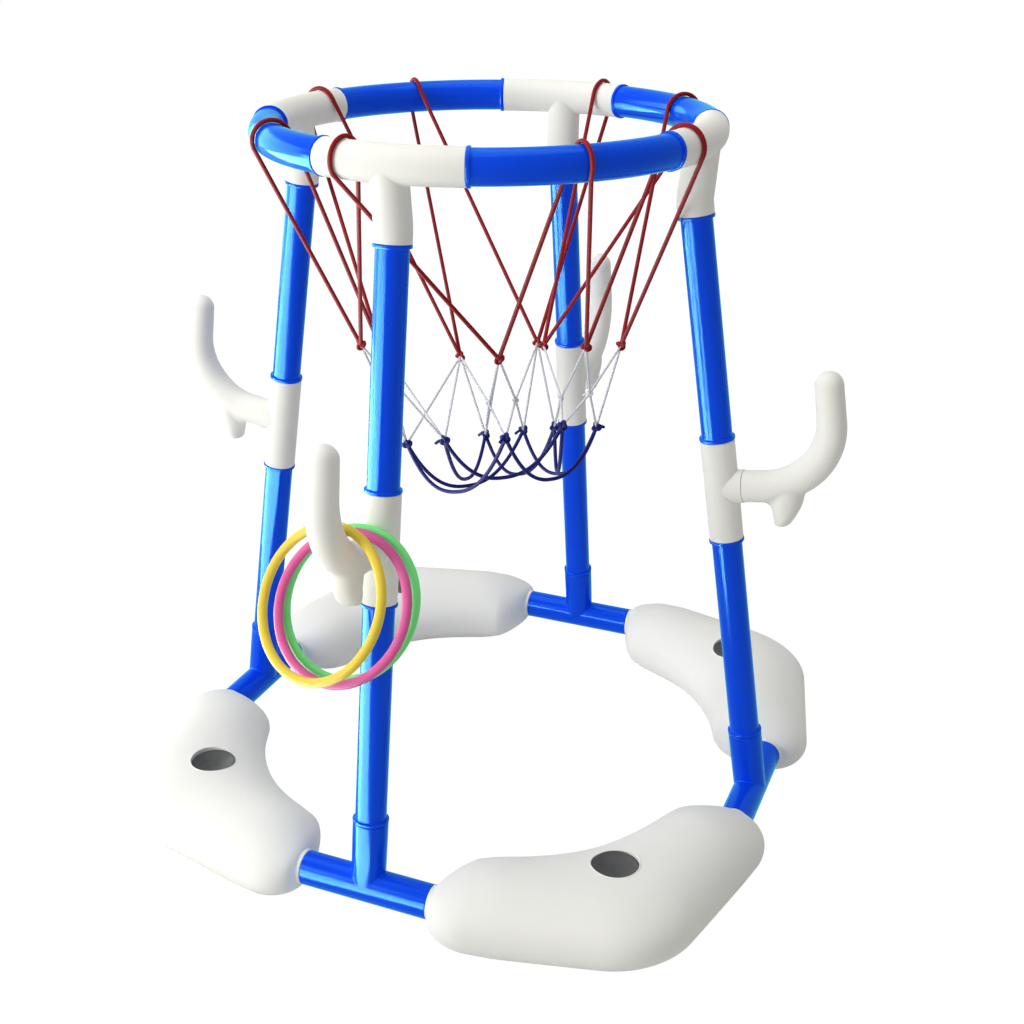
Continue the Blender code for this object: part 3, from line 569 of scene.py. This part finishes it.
def addBaseTees():
    s = legSizes
    middle = legPoint(s["baseHeight"])
    path = densePath((middle - sideways * s["baseHalf"], middle + sideways * s["baseHalf"]), 400)
    shells = teeShells("base", path, legUp, 0.006, densePath((middle, legPoint(s["collarTop"]))))
    addAround(legTurns, "baseTee", "frame", shells, bluePolyethylene, "base_tee")


addLegTubes()
addHoopArcs()
addTopTees()
addBaseTees()
print("legs and hoop made")


# Swivelling hooks and their sockets

hookSizes = dict(
    socketRadius=0.0156, socketReach=0.0215, socketBore=0.0117, armDrop=0.0008,
    spigotReach=0.0098, spigotRadius=0.0110, armRadius=0.0150,
    bendStart=0.0400, bendReach=0.0658, bendRise=0.0628,
    bendRadii=(0.0150, 0.0150, 0.0152, 0.0152, 0.0147, 0.0140, 0.0133),
    fingerRadii=((0.0820, 0.0130), (0.0950, 0.0128)), fingerTop=0.1080, domeLength=0.0128,
    lobe=((0.0630, 0.0040, 0.0135), (0.0625, -0.0060, 0.0146), (0.0610, -0.0140, 0.0140),
          (0.0585, -0.0220, 0.0124), (0.0562, -0.0300, 0.0100), (0.0550, -0.0350, 0.0078)),
    lobeTip=-0.0392, lobeCorner=0.0082, broadFrom=-0.020, broadOver=0.020, broaderBy=0.45,
    lobeRows=120, tipRows=12, rimEdge=0.0003, socketCorner=0.0015,
)


# A sleeve about the leg, and a side socket that branches from it to take the hook
def addConnectors():
    s, h = legSizes, hookSizes
    path = densePath(legPoint(s["hookHeight"] + np.array([-s["connectorDrop"], s["connectorRise"]])))
    reach, radius = h["socketReach"], h["socketRadius"]
    sidePath = densePath(hookPoint([0.0, reach], -h["armDrop"]))
    stations = [(0, radius), (reach - 0.0022, radius), (reach - 0.002, radius)]
    rim = mouth(reach, 0.0015, radius, h["socketBore"], h["rimEdge"])
    socket = branchGrid(sidePath, sideways, stations, rim, path, s["teeRadius"], h["socketCorner"])
    shells = [sleeveShell(path, sideways, 0.006), (socket, True)]
    addAround(legTurns, "hookSocket", "swivel_{}", shells, whitePolyethylene, "connector")


# The hook's centre line: level, then the quarter oval reach = start + a sin(q), rise = b (1 - cos(q)),
# then straight up the finger
def hookPath():
    h = hookSizes
    level = np.linspace(h["spigotReach"], h["bendStart"], 40)[:-1]
    q = np.linspace(0, np.pi / 2, 120)
    finger = np.linspace(h["bendRise"] - h["armDrop"], h["fingerTop"], 60)[1:]
    reach = np.concatenate([level, h["bendStart"] + h["bendReach"] * np.sin(q),
                            np.full(len(finger), h["bendStart"] + h["bendReach"])])
    bendRise = h["bendRise"] * (1 - np.cos(q)) - h["armDrop"]
    return reach, np.concatenate([np.full(len(level), -h["armDrop"]), bendRise, finger]), len(level), len(q)


# The arm and finger: the radius eased between its stations, times sqrt(1 - d^2) over the dome, d its share
def hookBar():
    h = hookSizes
    reach, rise, levelCount, bendCount = hookPath()
    path = hookPoint(reach, rise)
    gone = travelled(path)
    armStart = h["socketReach"] + fitGap - h["spigotReach"]
    bendRows = levelCount + np.linspace(0, bendCount - 1, len(h["bendRadii"]))
    fingerAt = [gone[-1] - (h["fingerTop"] - height) for height, _ in h["fingerRadii"]]
    fingerRadii = [radius for _, radius in h["fingerRadii"]]
    bendAt = np.interp(bendRows, np.arange(len(gone)), gone)
    stationAt = np.concatenate([[armStart], bendAt, fingerAt, gone[-1:]])
    radiusAt = np.concatenate([[h["armRadius"]], h["bendRadii"], fingerRadii, fingerRadii[-1:]])
    domeStart = gone[-1] - h["domeLength"]

    def barRadius(at, most):
        inDome = np.clip((at - domeStart) / h["domeLength"], 0, most)
        return eased(at, stationAt, radiusAt) * np.sqrt(1 - inDome ** 2)

    body = np.concatenate([np.linspace(armStart + 0.003, domeStart, 110),
                           domeStart + h["domeLength"] * np.sin(np.linspace(0, np.pi / 2, 22))[1:-1]])
    step = softCorners([(0, h["spigotRadius"]), (armStart, h["spigotRadius"]), (armStart, h["armRadius"]),
                        (armStart + 0.0025, h["armRadius"])], h["rimEdge"], looped=False)
    distance, radius = np.append(step[:, 0], body), np.append(step[:, 1], barRadius(body, 1))
    return carried(path, sideways, distance, radius, 72), path, barRadius(gone, 0.99)


# The short lobe under the bend: eased stations, a dome as on the finger, and sideways broader towards the
# tip by the factor 1 + broaderBy w^2 (3 - 2w), where w runs from 0 to 1
def hookLobe(barPath, barRadii):
    s, h = legSizes, hookSizes
    lobe, rows, tipRows = np.array(h["lobe"]), h["lobeRows"], h["tipRows"]
    at = travelled(lobe[:, :2])
    reach, rise, radius = (eased(np.linspace(0, at[-1], rows), at, lobe[:, k]) for k in range(3))
    tipRise = np.linspace(lobe[-1, 1], h["lobeTip"], tipRows)[1:]
    path = hookPoint(np.append(reach, np.full(tipRows - 1, lobe[-1, 0])), np.append(rise, tipRise))
    gone = travelled(path)
    domeStart, part = gone[rows - 1], np.sin(np.linspace(0, np.pi / 2, tipRows))[1:-1]
    dome = np.stack([domeStart + (gone[-1] - domeStart) * part, lobe[-1, 2] * np.sqrt(1 - part ** 2)], axis=1)
    pick = np.append(0, np.arange(20, rows, 3))
    stations = np.stack([gone[pick], radius[pick]], axis=1)
    grid = branchGrid(path, sideways, stations, dome, barPath, barRadii, h["lobeCorner"])
    down = (h["broadFrom"] - (grid - legPoint(s["hookHeight"])) @ legUp) / h["broadOver"]
    w = np.clip(down, 0, 1)
    grid[..., 1] *= 1 + h["broaderBy"] * w * w * (3 - 2 * w)
    return grid


def addHooks():
    bar, path, radii = hookBar()
    shells = [(bar, False), (hookLobe(path, radii), False)]
    addAround(legTurns, "hookMoulding", "swivel_{}", shells, whitePolyethylene, "hook")


addConnectors()
addHooks()
print("hooks made")


# Floats

floatSizes = dict(
    wallCentre=0.0380, outerWidth=0.0446, innerWidth=0.0556, outerCornerIn=0.0040, outerBend=0.0840,
    innerCornerIn=0.0965, innerBend=0.2172, endHeight=0.0300, middleHeight=0.0386, riseShare=0.18,
    neckRadius=0.0165, neckLength=0.0040, neckEdge=0.0008, spigotChamfer=0.001,
    shoulder=0.0306, shoulderPower=1.76, roundness=2.05,
    bungSetIn=0.07379, holeRadius=0.0219, holeBottom=0.0622, cutTop=0.1022, lipRadius=0.0226, lipSize=0.0008,
    bungRadius=0.0213, bungTop=0.0730, bungDepth=0.0100, bungDish=0.0045, bungStep=0.0004, bungRim=0.90,
    bungEdge=0.0006, rows=170, columns=104,
)
baseReach = legSizes["radiusAtHoop"] + legSizes["spread"] * (legSizes["hoopHeight"] - legSizes["baseHeight"])


# A straight edge, a bend p + f r sin(q) + n r (1 - cos(q)) about the corner, and the mirrored straight
def bentEdge(start, corner, radius, share):
    forward, onward = unit(corner - start), unit(start[::-1] - corner)
    turn = np.arccos(forward @ onward)
    cut = radius * np.tan(turn / 2)
    straight = np.linalg.norm(corner - start) - cut
    past = (share * (2 * straight + radius * turn) - straight)[:, None]
    side = (onward - forward * np.cos(turn)) / np.sin(turn)
    angle = np.clip(past / radius, 0, turn)
    bend = corner - forward * cut + forward * radius * np.sin(angle) + side * radius * (1 - np.cos(angle))
    return bend + forward * np.minimum(past, 0) + onward * np.maximum(past - radius * turn, 0)


# The float along its length: the edges give the middle and the half width, and the section widens from
# the neck as (1 - (1 - way/shoulder)^q)^(1/q)
def floatStations():
    f, s = floatSizes, legSizes
    neckEnd = s["baseHalf"] + fitGap + f["neckLength"]
    share = (1 - np.cos(np.pi * np.linspace(0, 1, f["rows"]))) / 2
    edges = ((f["outerWidth"], f["outerCornerIn"], f["outerBend"]),
             (-f["innerWidth"], f["innerCornerIn"], f["innerBend"]))
    outer, inner = (bentEdge(baseReach + np.array([width, neckEnd - baseReach]), np.full(2, baseReach - corner),
                             bend, share) for width, corner, bend in edges)
    middle, half = (outer + inner) / 2, (outer - inner) / 2
    gone = travelled(np.pad(middle, ((0, 0), (0, 1))))
    fromEnd = np.minimum(gone, gone[-1] - gone)
    swell = (1 - (1 - np.minimum(fromEnd / f["shoulder"], 1)) ** f["shoulderPower"]) ** (1 / f["shoulderPower"])
    part = np.minimum(fromEnd / (gone[-1] * f["riseShare"]), 1)
    fullHeight = f["endHeight"] + (f["middleHeight"] - f["endHeight"]) * part * part * (3 - 2 * part)
    firstHalf = (np.arange(f["rows"]) < f["rows"] / 2)[:, None]
    tubeEnd = np.where(firstHalf, [baseReach, neckEnd], [neckEnd, baseReach])
    return dict(
        spot=middle + (tubeEnd - np.where(firstHalf, middle[0], middle[-1])) * (1 - swell)[:, None],
        away=unit(half),
        height=s["baseHeight"] + (f["wallCentre"] - s["baseHeight"]) * swell,
        width=f["neckRadius"] + (np.linalg.norm(half, axis=1) - f["neckRadius"]) * swell,
        tall=f["neckRadius"] + (fullHeight - f["neckRadius"]) * swell,
        power=2 + (f["roundness"] - 2) * swell,
    )


# Oval sections |x/width|^p + |y/tall|^p = 1 across the middle line, flat where they reach the floor, with
# the collar and the push-fit end at either end
def floatGrid(at):
    f, s = floatSizes, legSizes
    angle = roundAngles(f["columns"])[None, :]
    share = 2 / at["power"][:, None]
    across = np.sign(np.cos(angle)) * np.abs(np.cos(angle)) ** share * at["width"][:, None]
    up = np.sign(np.sin(angle)) * np.abs(np.sin(angle)) ** share * at["tall"][:, None]
    level = np.maximum(at["height"][:, None] + up, 0)
    plan = at["spot"][:, None] + at["away"][:, None] * across[..., None]
    grid = np.concatenate([plan, level[..., None]], axis=2)
    face = s["baseHalf"] + fitGap
    start, spigot, chamfer = face - s["spigotLength"], s["spigotRadius"], f["spigotChamfer"]
    neck = softCorners([(start, spigot - chamfer), (start + chamfer, spigot), (face, spigot),
                        (face, f["neckRadius"]), (face + f["neckLength"] - 0.0002, f["neckRadius"])],
                       f["neckEdge"], looped=False)
    neckGrid = np.stack([baseReach + neck[:, 1:] * np.cos(angle[0]), np.repeat(neck[:, :1], f["columns"], 1),
                         s["baseHeight"] + neck[:, 1:] * np.sin(angle[0])], axis=2)
    return np.concatenate([neckGrid, grid, neckGrid[::-1][..., [1, 0, 2]]])


# Height of the float's top over plan points: middle + tall (1 - |x/width|^p)^(1/p), where x is the offset
# from the station whose cross line passes through the point
def topHeight(at, points):
    apart = points[:, None] - at["spot"][None]
    along = apart[..., 0] * at["away"][:, 1] - apart[..., 1] * at["away"][:, 0]
    nearest = np.abs(along).argmin(axis=1)
    offset = (apart * at["away"]).sum(2)[np.arange(len(points)), nearest]
    x = np.minimum(np.abs(offset) / at["width"][nearest], 0.999)
    power = at["power"][nearest]
    return at["height"][nearest] + at["tall"][nearest] * (1 - x ** power) ** (1 / power)


# Turned about an upright line through the stopper: (radius cos(angle), radius sin(angle), height)
def turnedAboutBung(outline, columns=96):
    reach = baseReach - floatSizes["bungSetIn"]
    angle = roundAngles(columns)
    radius, height = outline[:, :1], outline[:, 1:]
    return np.stack([reach + radius * np.cos(angle), reach + radius * np.sin(angle),
                     np.repeat(height, columns, 1)], axis=2)


# The lip follows the float's top: (radius + size cos(b)) round the stopper's line, at top + size sin(b)
def lipGrid(at):
    f = floatSizes
    reach = baseReach - f["bungSetIn"]
    around, b = roundAngles(144)[:, None], roundAngles(16)[None, :]
    plan = reach + f["lipRadius"] * np.concatenate([np.cos(around), np.sin(around)], axis=1)
    radius = f["lipRadius"] + f["lipSize"] * np.cos(b)
    return np.stack([reach + radius * np.cos(around), reach + radius * np.sin(around),
                     topHeight(at, plan)[:, None] - 0.0003 + f["lipSize"] * np.sin(b)], axis=2)


# Cuts the stopper's hole with a column, adds the lip, and keeps the result as the piece's own mesh
def cutHole(piece, lip, turn):
    f = floatSizes
    column = turnedAboutBung(np.array([(f["holeRadius"], f["holeBottom"]), (f["holeRadius"], f["cutTop"])]), 72)
    cutter = addObject("cutter", shellMesh("cutter", [(turned(column, turn), False)]))
    cut = piece.modifiers.new("hole", "BOOLEAN")
    cut.operation, cut.solver, cut.object = "DIFFERENCE", "EXACT", cutter
    whole = piece.data
    piece.data = bpy.data.meshes.new_from_object(piece.evaluated_get(bpy.context.evaluated_depsgraph_get()))
    piece.modifiers.clear()
    lipMesh = shellMesh("lip", [(turned(lip, turn), True)])
    both = bmesh.new()
    both.from_mesh(piece.data)
    both.from_mesh(lipMesh)
    both.to_mesh(piece.data)
    both.free()
    smoothed(piece.data, sharpAngles["floatSkin"])
    bpy.data.objects.remove(cutter)
    bpy.data.meshes.remove(whole)
    bpy.data.meshes.remove(lipMesh)


# The stopper is a turned cup: brim - dish (1 - (radius / rim radius)^2) inside its rim
def addFloats():
    f = floatSizes
    at = floatStations()
    shell, lip = floatGrid(at), lipGrid(at)
    r, high = f["bungRadius"], f["bungTop"]
    brim = high - f["bungStep"]
    inward = np.linspace(f["bungRim"], 0.02, 16) * r
    dish = brim - f["bungDish"] * (1 - (inward / (f["bungRim"] * r)) ** 2)
    rim = softCorners([(0.002, high - f["bungDepth"]), (r, high - f["bungDepth"]), (r, high), (r * 0.93, high),
                       (r * f["bungRim"], brim)], f["bungEdge"], looped=False)
    bungGrid = turnedAboutBung(np.concatenate([rim, np.stack([inward, dish], axis=1)]))
    for corner, turn in cornerTurns.items():
        whole = addPiece(f"floatShell_{corner}", "frame", [(turned(shell, turn), False)], floatPolyethylene,
                         [f"float_{corner}"])
        cutHole(whole, lip, turn)
        addPiece(f"stopper_{corner}", f"bung_body_{corner}", [(turned(bungGrid, turn), False)], darkRubber,
                 [f"bung_{corner}"])


addFloats()
print("floats made")


# Toss rings

tossSizes = dict(radius=0.0636, hose=0.0041, rows=160, columns=24)


# A ring of hose: centre + (radius + hose cos(b)) (e1 cos(a) + e2 sin(a)) + axis hose sin(b)
def addTossRings():
    t = tossSizes
    for colour, finish in ringFinishes.items():
        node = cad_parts[f"toss_ring_{colour}"]
        points = np.empty(len(node.data.vertices) * 3)
        node.data.vertices.foreach_get("co", points)
        points = points.reshape(-1, 3)
        centre = (points.min(axis=0) + points.max(axis=0)) / 2
        _, _, axes = np.linalg.svd(points - points.mean(axis=0), full_matrices=False)
        a = roundAngles(t["rows"])[:, None, None]
        b = roundAngles(t["columns"])[None, :, None]
        outward = axes[0] * np.cos(a) + axes[1] * np.sin(a)
        grid = centre + (t["radius"] + t["hose"] * np.cos(b)) * outward + axes[2] * t["hose"] * np.sin(b)
        addPiece(f"tossRing_{colour}", f"ring_{colour}", [(grid, True)], finish, [f"toss_ring_{colour}"])


addTossRings()
print("toss rings made")


# Net: its cords are held by the hoop and by their knots

# Knots: azimuth in degrees, radius, and drop below the hoop. An upper knot follows each loop
netSizes = dict(
    loops=(-102, -45, -12, 45, 78, 135, 168, 225),
    upper=((-62.6, 0.1170, 0.1830), (-17.8, 0.1170, 0.1843), (23.0, 0.1275, 0.2072), (71.6, 0.0830, 0.2272),
           (81.8, 0.0955, 0.2301), (129.6, 0.1050, 0.2505), (197.5, 0.1060, 0.2125), (227.5, 0.1300, 0.1894)),
    lower=((-56.0, 0.0800, 0.2724), (-5.6, 0.0800, 0.2753), (28.1, 0.1070, 0.2949), (56.8, 0.0800, 0.3077),
           (86.7, 0.0800, 0.3214), (116.0, 0.0800, 0.3292), (217.5, 0.0830, 0.3004), (261.4, 0.0800, 0.2787)),
    navyDrops=(0.0490, 0.0490, 0.0500, 0.0490, 0.0540, 0.0450, 0.0530, 0.0460), fullness=2.4,
    redRadius=0.0020, whiteRadius=0.0012, navyRadius=0.0019,
    knot=0.0042, tie=0.0026, knotTail=0.009, tieTail=0.007, droop=0.6,
)
# Which upper knot joins which lower knot, and the crossings that are tied on the way
netTies = dict(
    strands=((5, 6), (5, 7), (5, 5), (0, 5), (4, 4), (4, 3), (2, 2), (7, 6), (6, 6), (7, 7), (6, 7)),
    crossings=(((5, 0), (0, 5)), ((0, 4), (4, 0)), ((3, 1), (1, 3)), ((1, 2), (2, 1))),
)


# A knot's place: (radius cos(azimuth), radius sin(azimuth), hoop height - drop)
def aroundHoop(knot):
    azimuth, radius, drop = math.radians(knot[0]), *knot[1:]
    return np.array([radius * math.cos(azimuth), radius * math.sin(azimuth), legSizes["hoopHeight"] - drop])


upperKnots, lowerKnots = ([aroundHoop(knot) for knot in netSizes[row]] for row in ("upper", "lower"))


# A cord's surface: carried along its path with one radius, closed at both ends
def cordGrid(path, radius, side, columns=10, step=0.0016):
    length = travelled(path)[-1]
    return carried(path, side, np.linspace(0, length, max(4, int(length / step))), radius, columns)


# A thumb knot: the closed curve (sin t + 2 sin 2t, cos t - 2 cos 2t, -1.2 sin 3t), turned upright and scaled
def knotGrid(centre, size, radius, lean):
    t = roundAngles(72)
    curve = np.stack([np.sin(t) + 2 * np.sin(2 * t), np.cos(t) - 2 * np.cos(2 * t), -1.2 * np.sin(3 * t)])
    curve = turned(curve.T, math.degrees(lean))[:, [0, 2, 1]] * size / 3
    slope = unit(np.roll(curve, -1, axis=0) - np.roll(curve, 1, axis=0))
    first = unit(np.cross(slope, unit(curve)))
    second = np.cross(slope, first)
    angle = roundAngles(8)[None, :, None]
    return centre + curve[:, None] + radius * (first[:, None] * np.cos(angle) + second[:, None] * np.sin(angle))


# A loose end: start + heading distance - up length droop share^2
def tailGrid(start, heading, length, radius):
    share = np.linspace(0, 1, 12)[:, None]
    path = start + heading * length * share - upwards * length * netSizes["droop"] * share ** 2
    return cordGrid(path, radius, unit(np.cross(upwards, heading + 1e-3)), 8, 0.001)


# Up from one knot, over the hoop as centre + (outward cos(turn) + up sin(turn)) hold, and down to the next
def redPath(index):
    s = legSizes
    tube = s["teeRadius"] if index % 2 == 0 else s["arcRadius"]
    hold = tube + fitGap + netSizes["redRadius"]
    azimuth = math.radians(netSizes["loops"][index])
    outward = np.array([math.cos(azimuth), math.sin(azimuth), 0])
    centre = outward * s["hoopRadius"] + upwards * s["hoopHeight"]
    before, after = upperKnots[index - 1], upperKnots[index]
    lifts = [math.atan2((centre - knot)[2], (centre - knot) @ outward) for knot in (before, after)]
    turn = np.linspace(lifts[0] + math.pi / 2, lifts[1] - math.pi / 2, 40)[:, None]
    wrap = centre + (outward * np.cos(turn) + upwards * np.sin(turn)) * hold
    inner, outer = densePath((before, wrap[0]), 30)[:-1], densePath((wrap[-1], after), 30)[1:]
    return np.concatenate([inner, wrap, outer]), np.cross(outward, upwards)


# A hanging loop between two lower knots: straight - up x drop x (1 - |2 share - 1|^fullness)
def navyPath(index):
    start, end = lowerKnots[index], lowerKnots[(index + 2) % len(lowerKnots)]
    share = np.linspace(0, 1, 80)[:, None]
    depth = 1 - np.abs(2 * share - 1) ** netSizes["fullness"]
    return start * (1 - share) + end * share - upwards * netSizes["navyDrops"][index] * depth


# A level axis across a path
def crossSide(path):
    return unit(np.cross(upwards, path[-1] - path[0] + 1e-5))


# The midpoint between the nearest points a + u s and c + v t of two strands
def crossingPoint(firstStrand, secondStrand):
    (a, b), (c, d) = firstStrand, secondStrand
    u, v, w = b - a, d - c, a - c
    m = np.array([[u @ u, -u @ v], [u @ v, -v @ v]])
    s, t = np.linalg.solve(m, np.array([-u @ w, -v @ w]))
    return (a + u * s + c + v * t) / 2


def addNet():
    n = netSizes
    rng = np.random.default_rng(7)
    for i in range(8):
        path, side = redPath(i)
        knot = knotGrid(upperKnots[i], n["knot"], n["redRadius"] * 0.8, rng.uniform(0, 3))
        shells = [(cordGrid(path, n["redRadius"], side), False), (knot, True)]
        addPiece(f"netRed_{i + 1}", "frame", shells, redCord, [f"net_red_{i + 1}"])
        path = navyPath(i)
        knot = knotGrid(lowerKnots[i], n["knot"], n["navyRadius"] * 0.85, rng.uniform(0, 3))
        heading = unit(np.append(rng.normal(size=2), 0.3))
        tail = tailGrid(lowerKnots[i], heading, n["knotTail"], n["navyRadius"] * 0.8)
        shells = [(cordGrid(path, n["navyRadius"], crossSide(path)), False), (knot, True), (tail, False)]
        addPiece(f"netNavy_{i + 1}", "frame", shells, navyCord, [f"net_navy_{i + 1}"])

    def joined(pairs):
        return [(upperKnots[up], lowerKnots[low]) for up, low in pairs]

    def whiteRun(ends):
        return cordGrid(densePath(ends, 20), n["whiteRadius"], crossSide(ends)), False

    shells = [whiteRun(ends) for ends in joined(netTies["strands"])]
    for pairs in netTies["crossings"]:
        strands = joined(pairs)
        tie = crossingPoint(*strands)
        shells += [whiteRun((end, tie)) for end in strands[0] + strands[1]]
        shells.append((knotGrid(tie, n["tie"], n["whiteRadius"] * 0.85, rng.uniform(0, 3)), True))
        heading = unit(np.append(rng.normal(size=2), 0.2))
        shells.append((tailGrid(tie, heading, n["tieTail"], n["whiteRadius"] * 0.8), False))
    addPiece("netWhite", "frame", shells, whiteCord, ["net_white"])


addNet()
print("net made")


# Studio: pale floor, white surround and soft lamps

lampSizes = dict(
    key=dict(place=(-1.9, -2.3, 1.35), aims=(0, 0, 0.35), size=(1.6, 1.6), watts=62),
    top=dict(place=(-0.4, 0.2, 3.0), aims=(0, 0, 0.3), size=(2.4, 2.4), watts=37),
    gloss=dict(place=(-1.80, -1.40, 0.0), aims=(-1.80, -1.40, 1.0), size=(2.8, 3.2), watts=820, glossOnly=True,
               turn=22.3),
    wall=dict(place=(-1.88, -2.18, 0.35), aims=(-0.2, 0.1, 0.35), size=(3.3, 0.7), watts=180, glossOnly=True),
    rim=dict(place=(-2.95, 0.5, 0.8), aims=(0, 0, 0.65), size=(3.2, 2.2), watts=105, glossOnly=True),
)


# The tubes mirror two gloss panels on the left, one on the floor and one upright, as their pale stripe. The
# hoop's left and far right arcs mirror one that stands behind to the left
def addLamp(name, look):
    lamp = bpy.data.lights.new(name, "AREA")
    lamp.shape = "RECTANGLE"
    lamp.size, lamp.size_y = look["size"]
    lamp.energy = look["watts"]
    holder = addObject(name, lamp)
    aim(holder, look["place"], look["aims"], look.get("turn", 0))
    holder.visible_camera = False
    holder.visible_diffuse = not look.get("glossOnly")


# 1 where the camera, a reflection or clear glass looks, and 0 where light is gathered
def seenBy(tree):
    path = addNode(tree, "LightPath")
    seen = (path, "Is Camera Ray")
    for ray in ("Is Glossy Ray", "Is Transmission Ray"):
        seen = (addNode(tree, "Math", None, {0: seen, 1: (path, ray)}, operation="MAXIMUM"), 0)
    return seen


studioLevels = dict(world=0.39, seenWorld=1.0, floorGlow=1.1, floorGlowShare=0.9, floorColour="#e2e2e2",
                    floorHalf=6, floorHeight=-0.0005)


# White as the camera and reflections see it, and a plain level of light everywhere else
def addSurround():
    world = bpy.data.worlds.new("surround")
    world.use_nodes = True
    bpy.context.scene.world = world
    tree = world.node_tree
    tree.nodes.clear()
    plain, white = (addNode(tree, "Background", {"Color": (1, 1, 1, 1), "Strength": level})
                    for level in (studioLevels["world"], studioLevels["seenWorld"]))
    both = addNode(tree, "MixShader", None, {0: seenBy(tree), 1: (plain, 0), 2: (white, 0)})
    addNode(tree, "OutputWorld", None, {"Surface": (both, 0)})


# Mostly plain white where it is seen, with enough pale colour left to hold the object's shadow
def addFloor():
    levels = studioLevels
    half, height = levels["floorHalf"], levels["floorHeight"]
    corners = [(x * half, y * half, height) for x, y in ((-1, -1), (1, -1), (1, 1), (-1, 1))]
    mesh = bpy.data.meshes.new("floor")
    mesh.from_pydata(corners, [], [(0, 1, 2, 3)])
    floor = addObject("floor", mesh)
    finish, tree = newFinish("pale_studio_floor")
    diffuse = addNode(tree, "BsdfDiffuse", {"Color": toLinear(levels["floorColour"])})
    glow = addNode(tree, "Emission", {"Strength": levels["floorGlow"]})
    share = addNode(tree, "Math", {1: levels["floorGlowShare"]}, {0: seenBy(tree)}, operation="MULTIPLY")
    both = addNode(tree, "MixShader", None, {0: (share, 0), 1: (diffuse, 0), 2: (glow, 0)})
    addNode(tree, "OutputMaterial", None, {"Surface": (both, 0)})
    mesh.materials.append(finish)


for lampName, lampLook in lampSizes.items():
    addLamp(lampName, lampLook)
addSurround()
addFloor()
bpy.context.scene.view_settings.view_transform = "Standard"
print("studio lit")
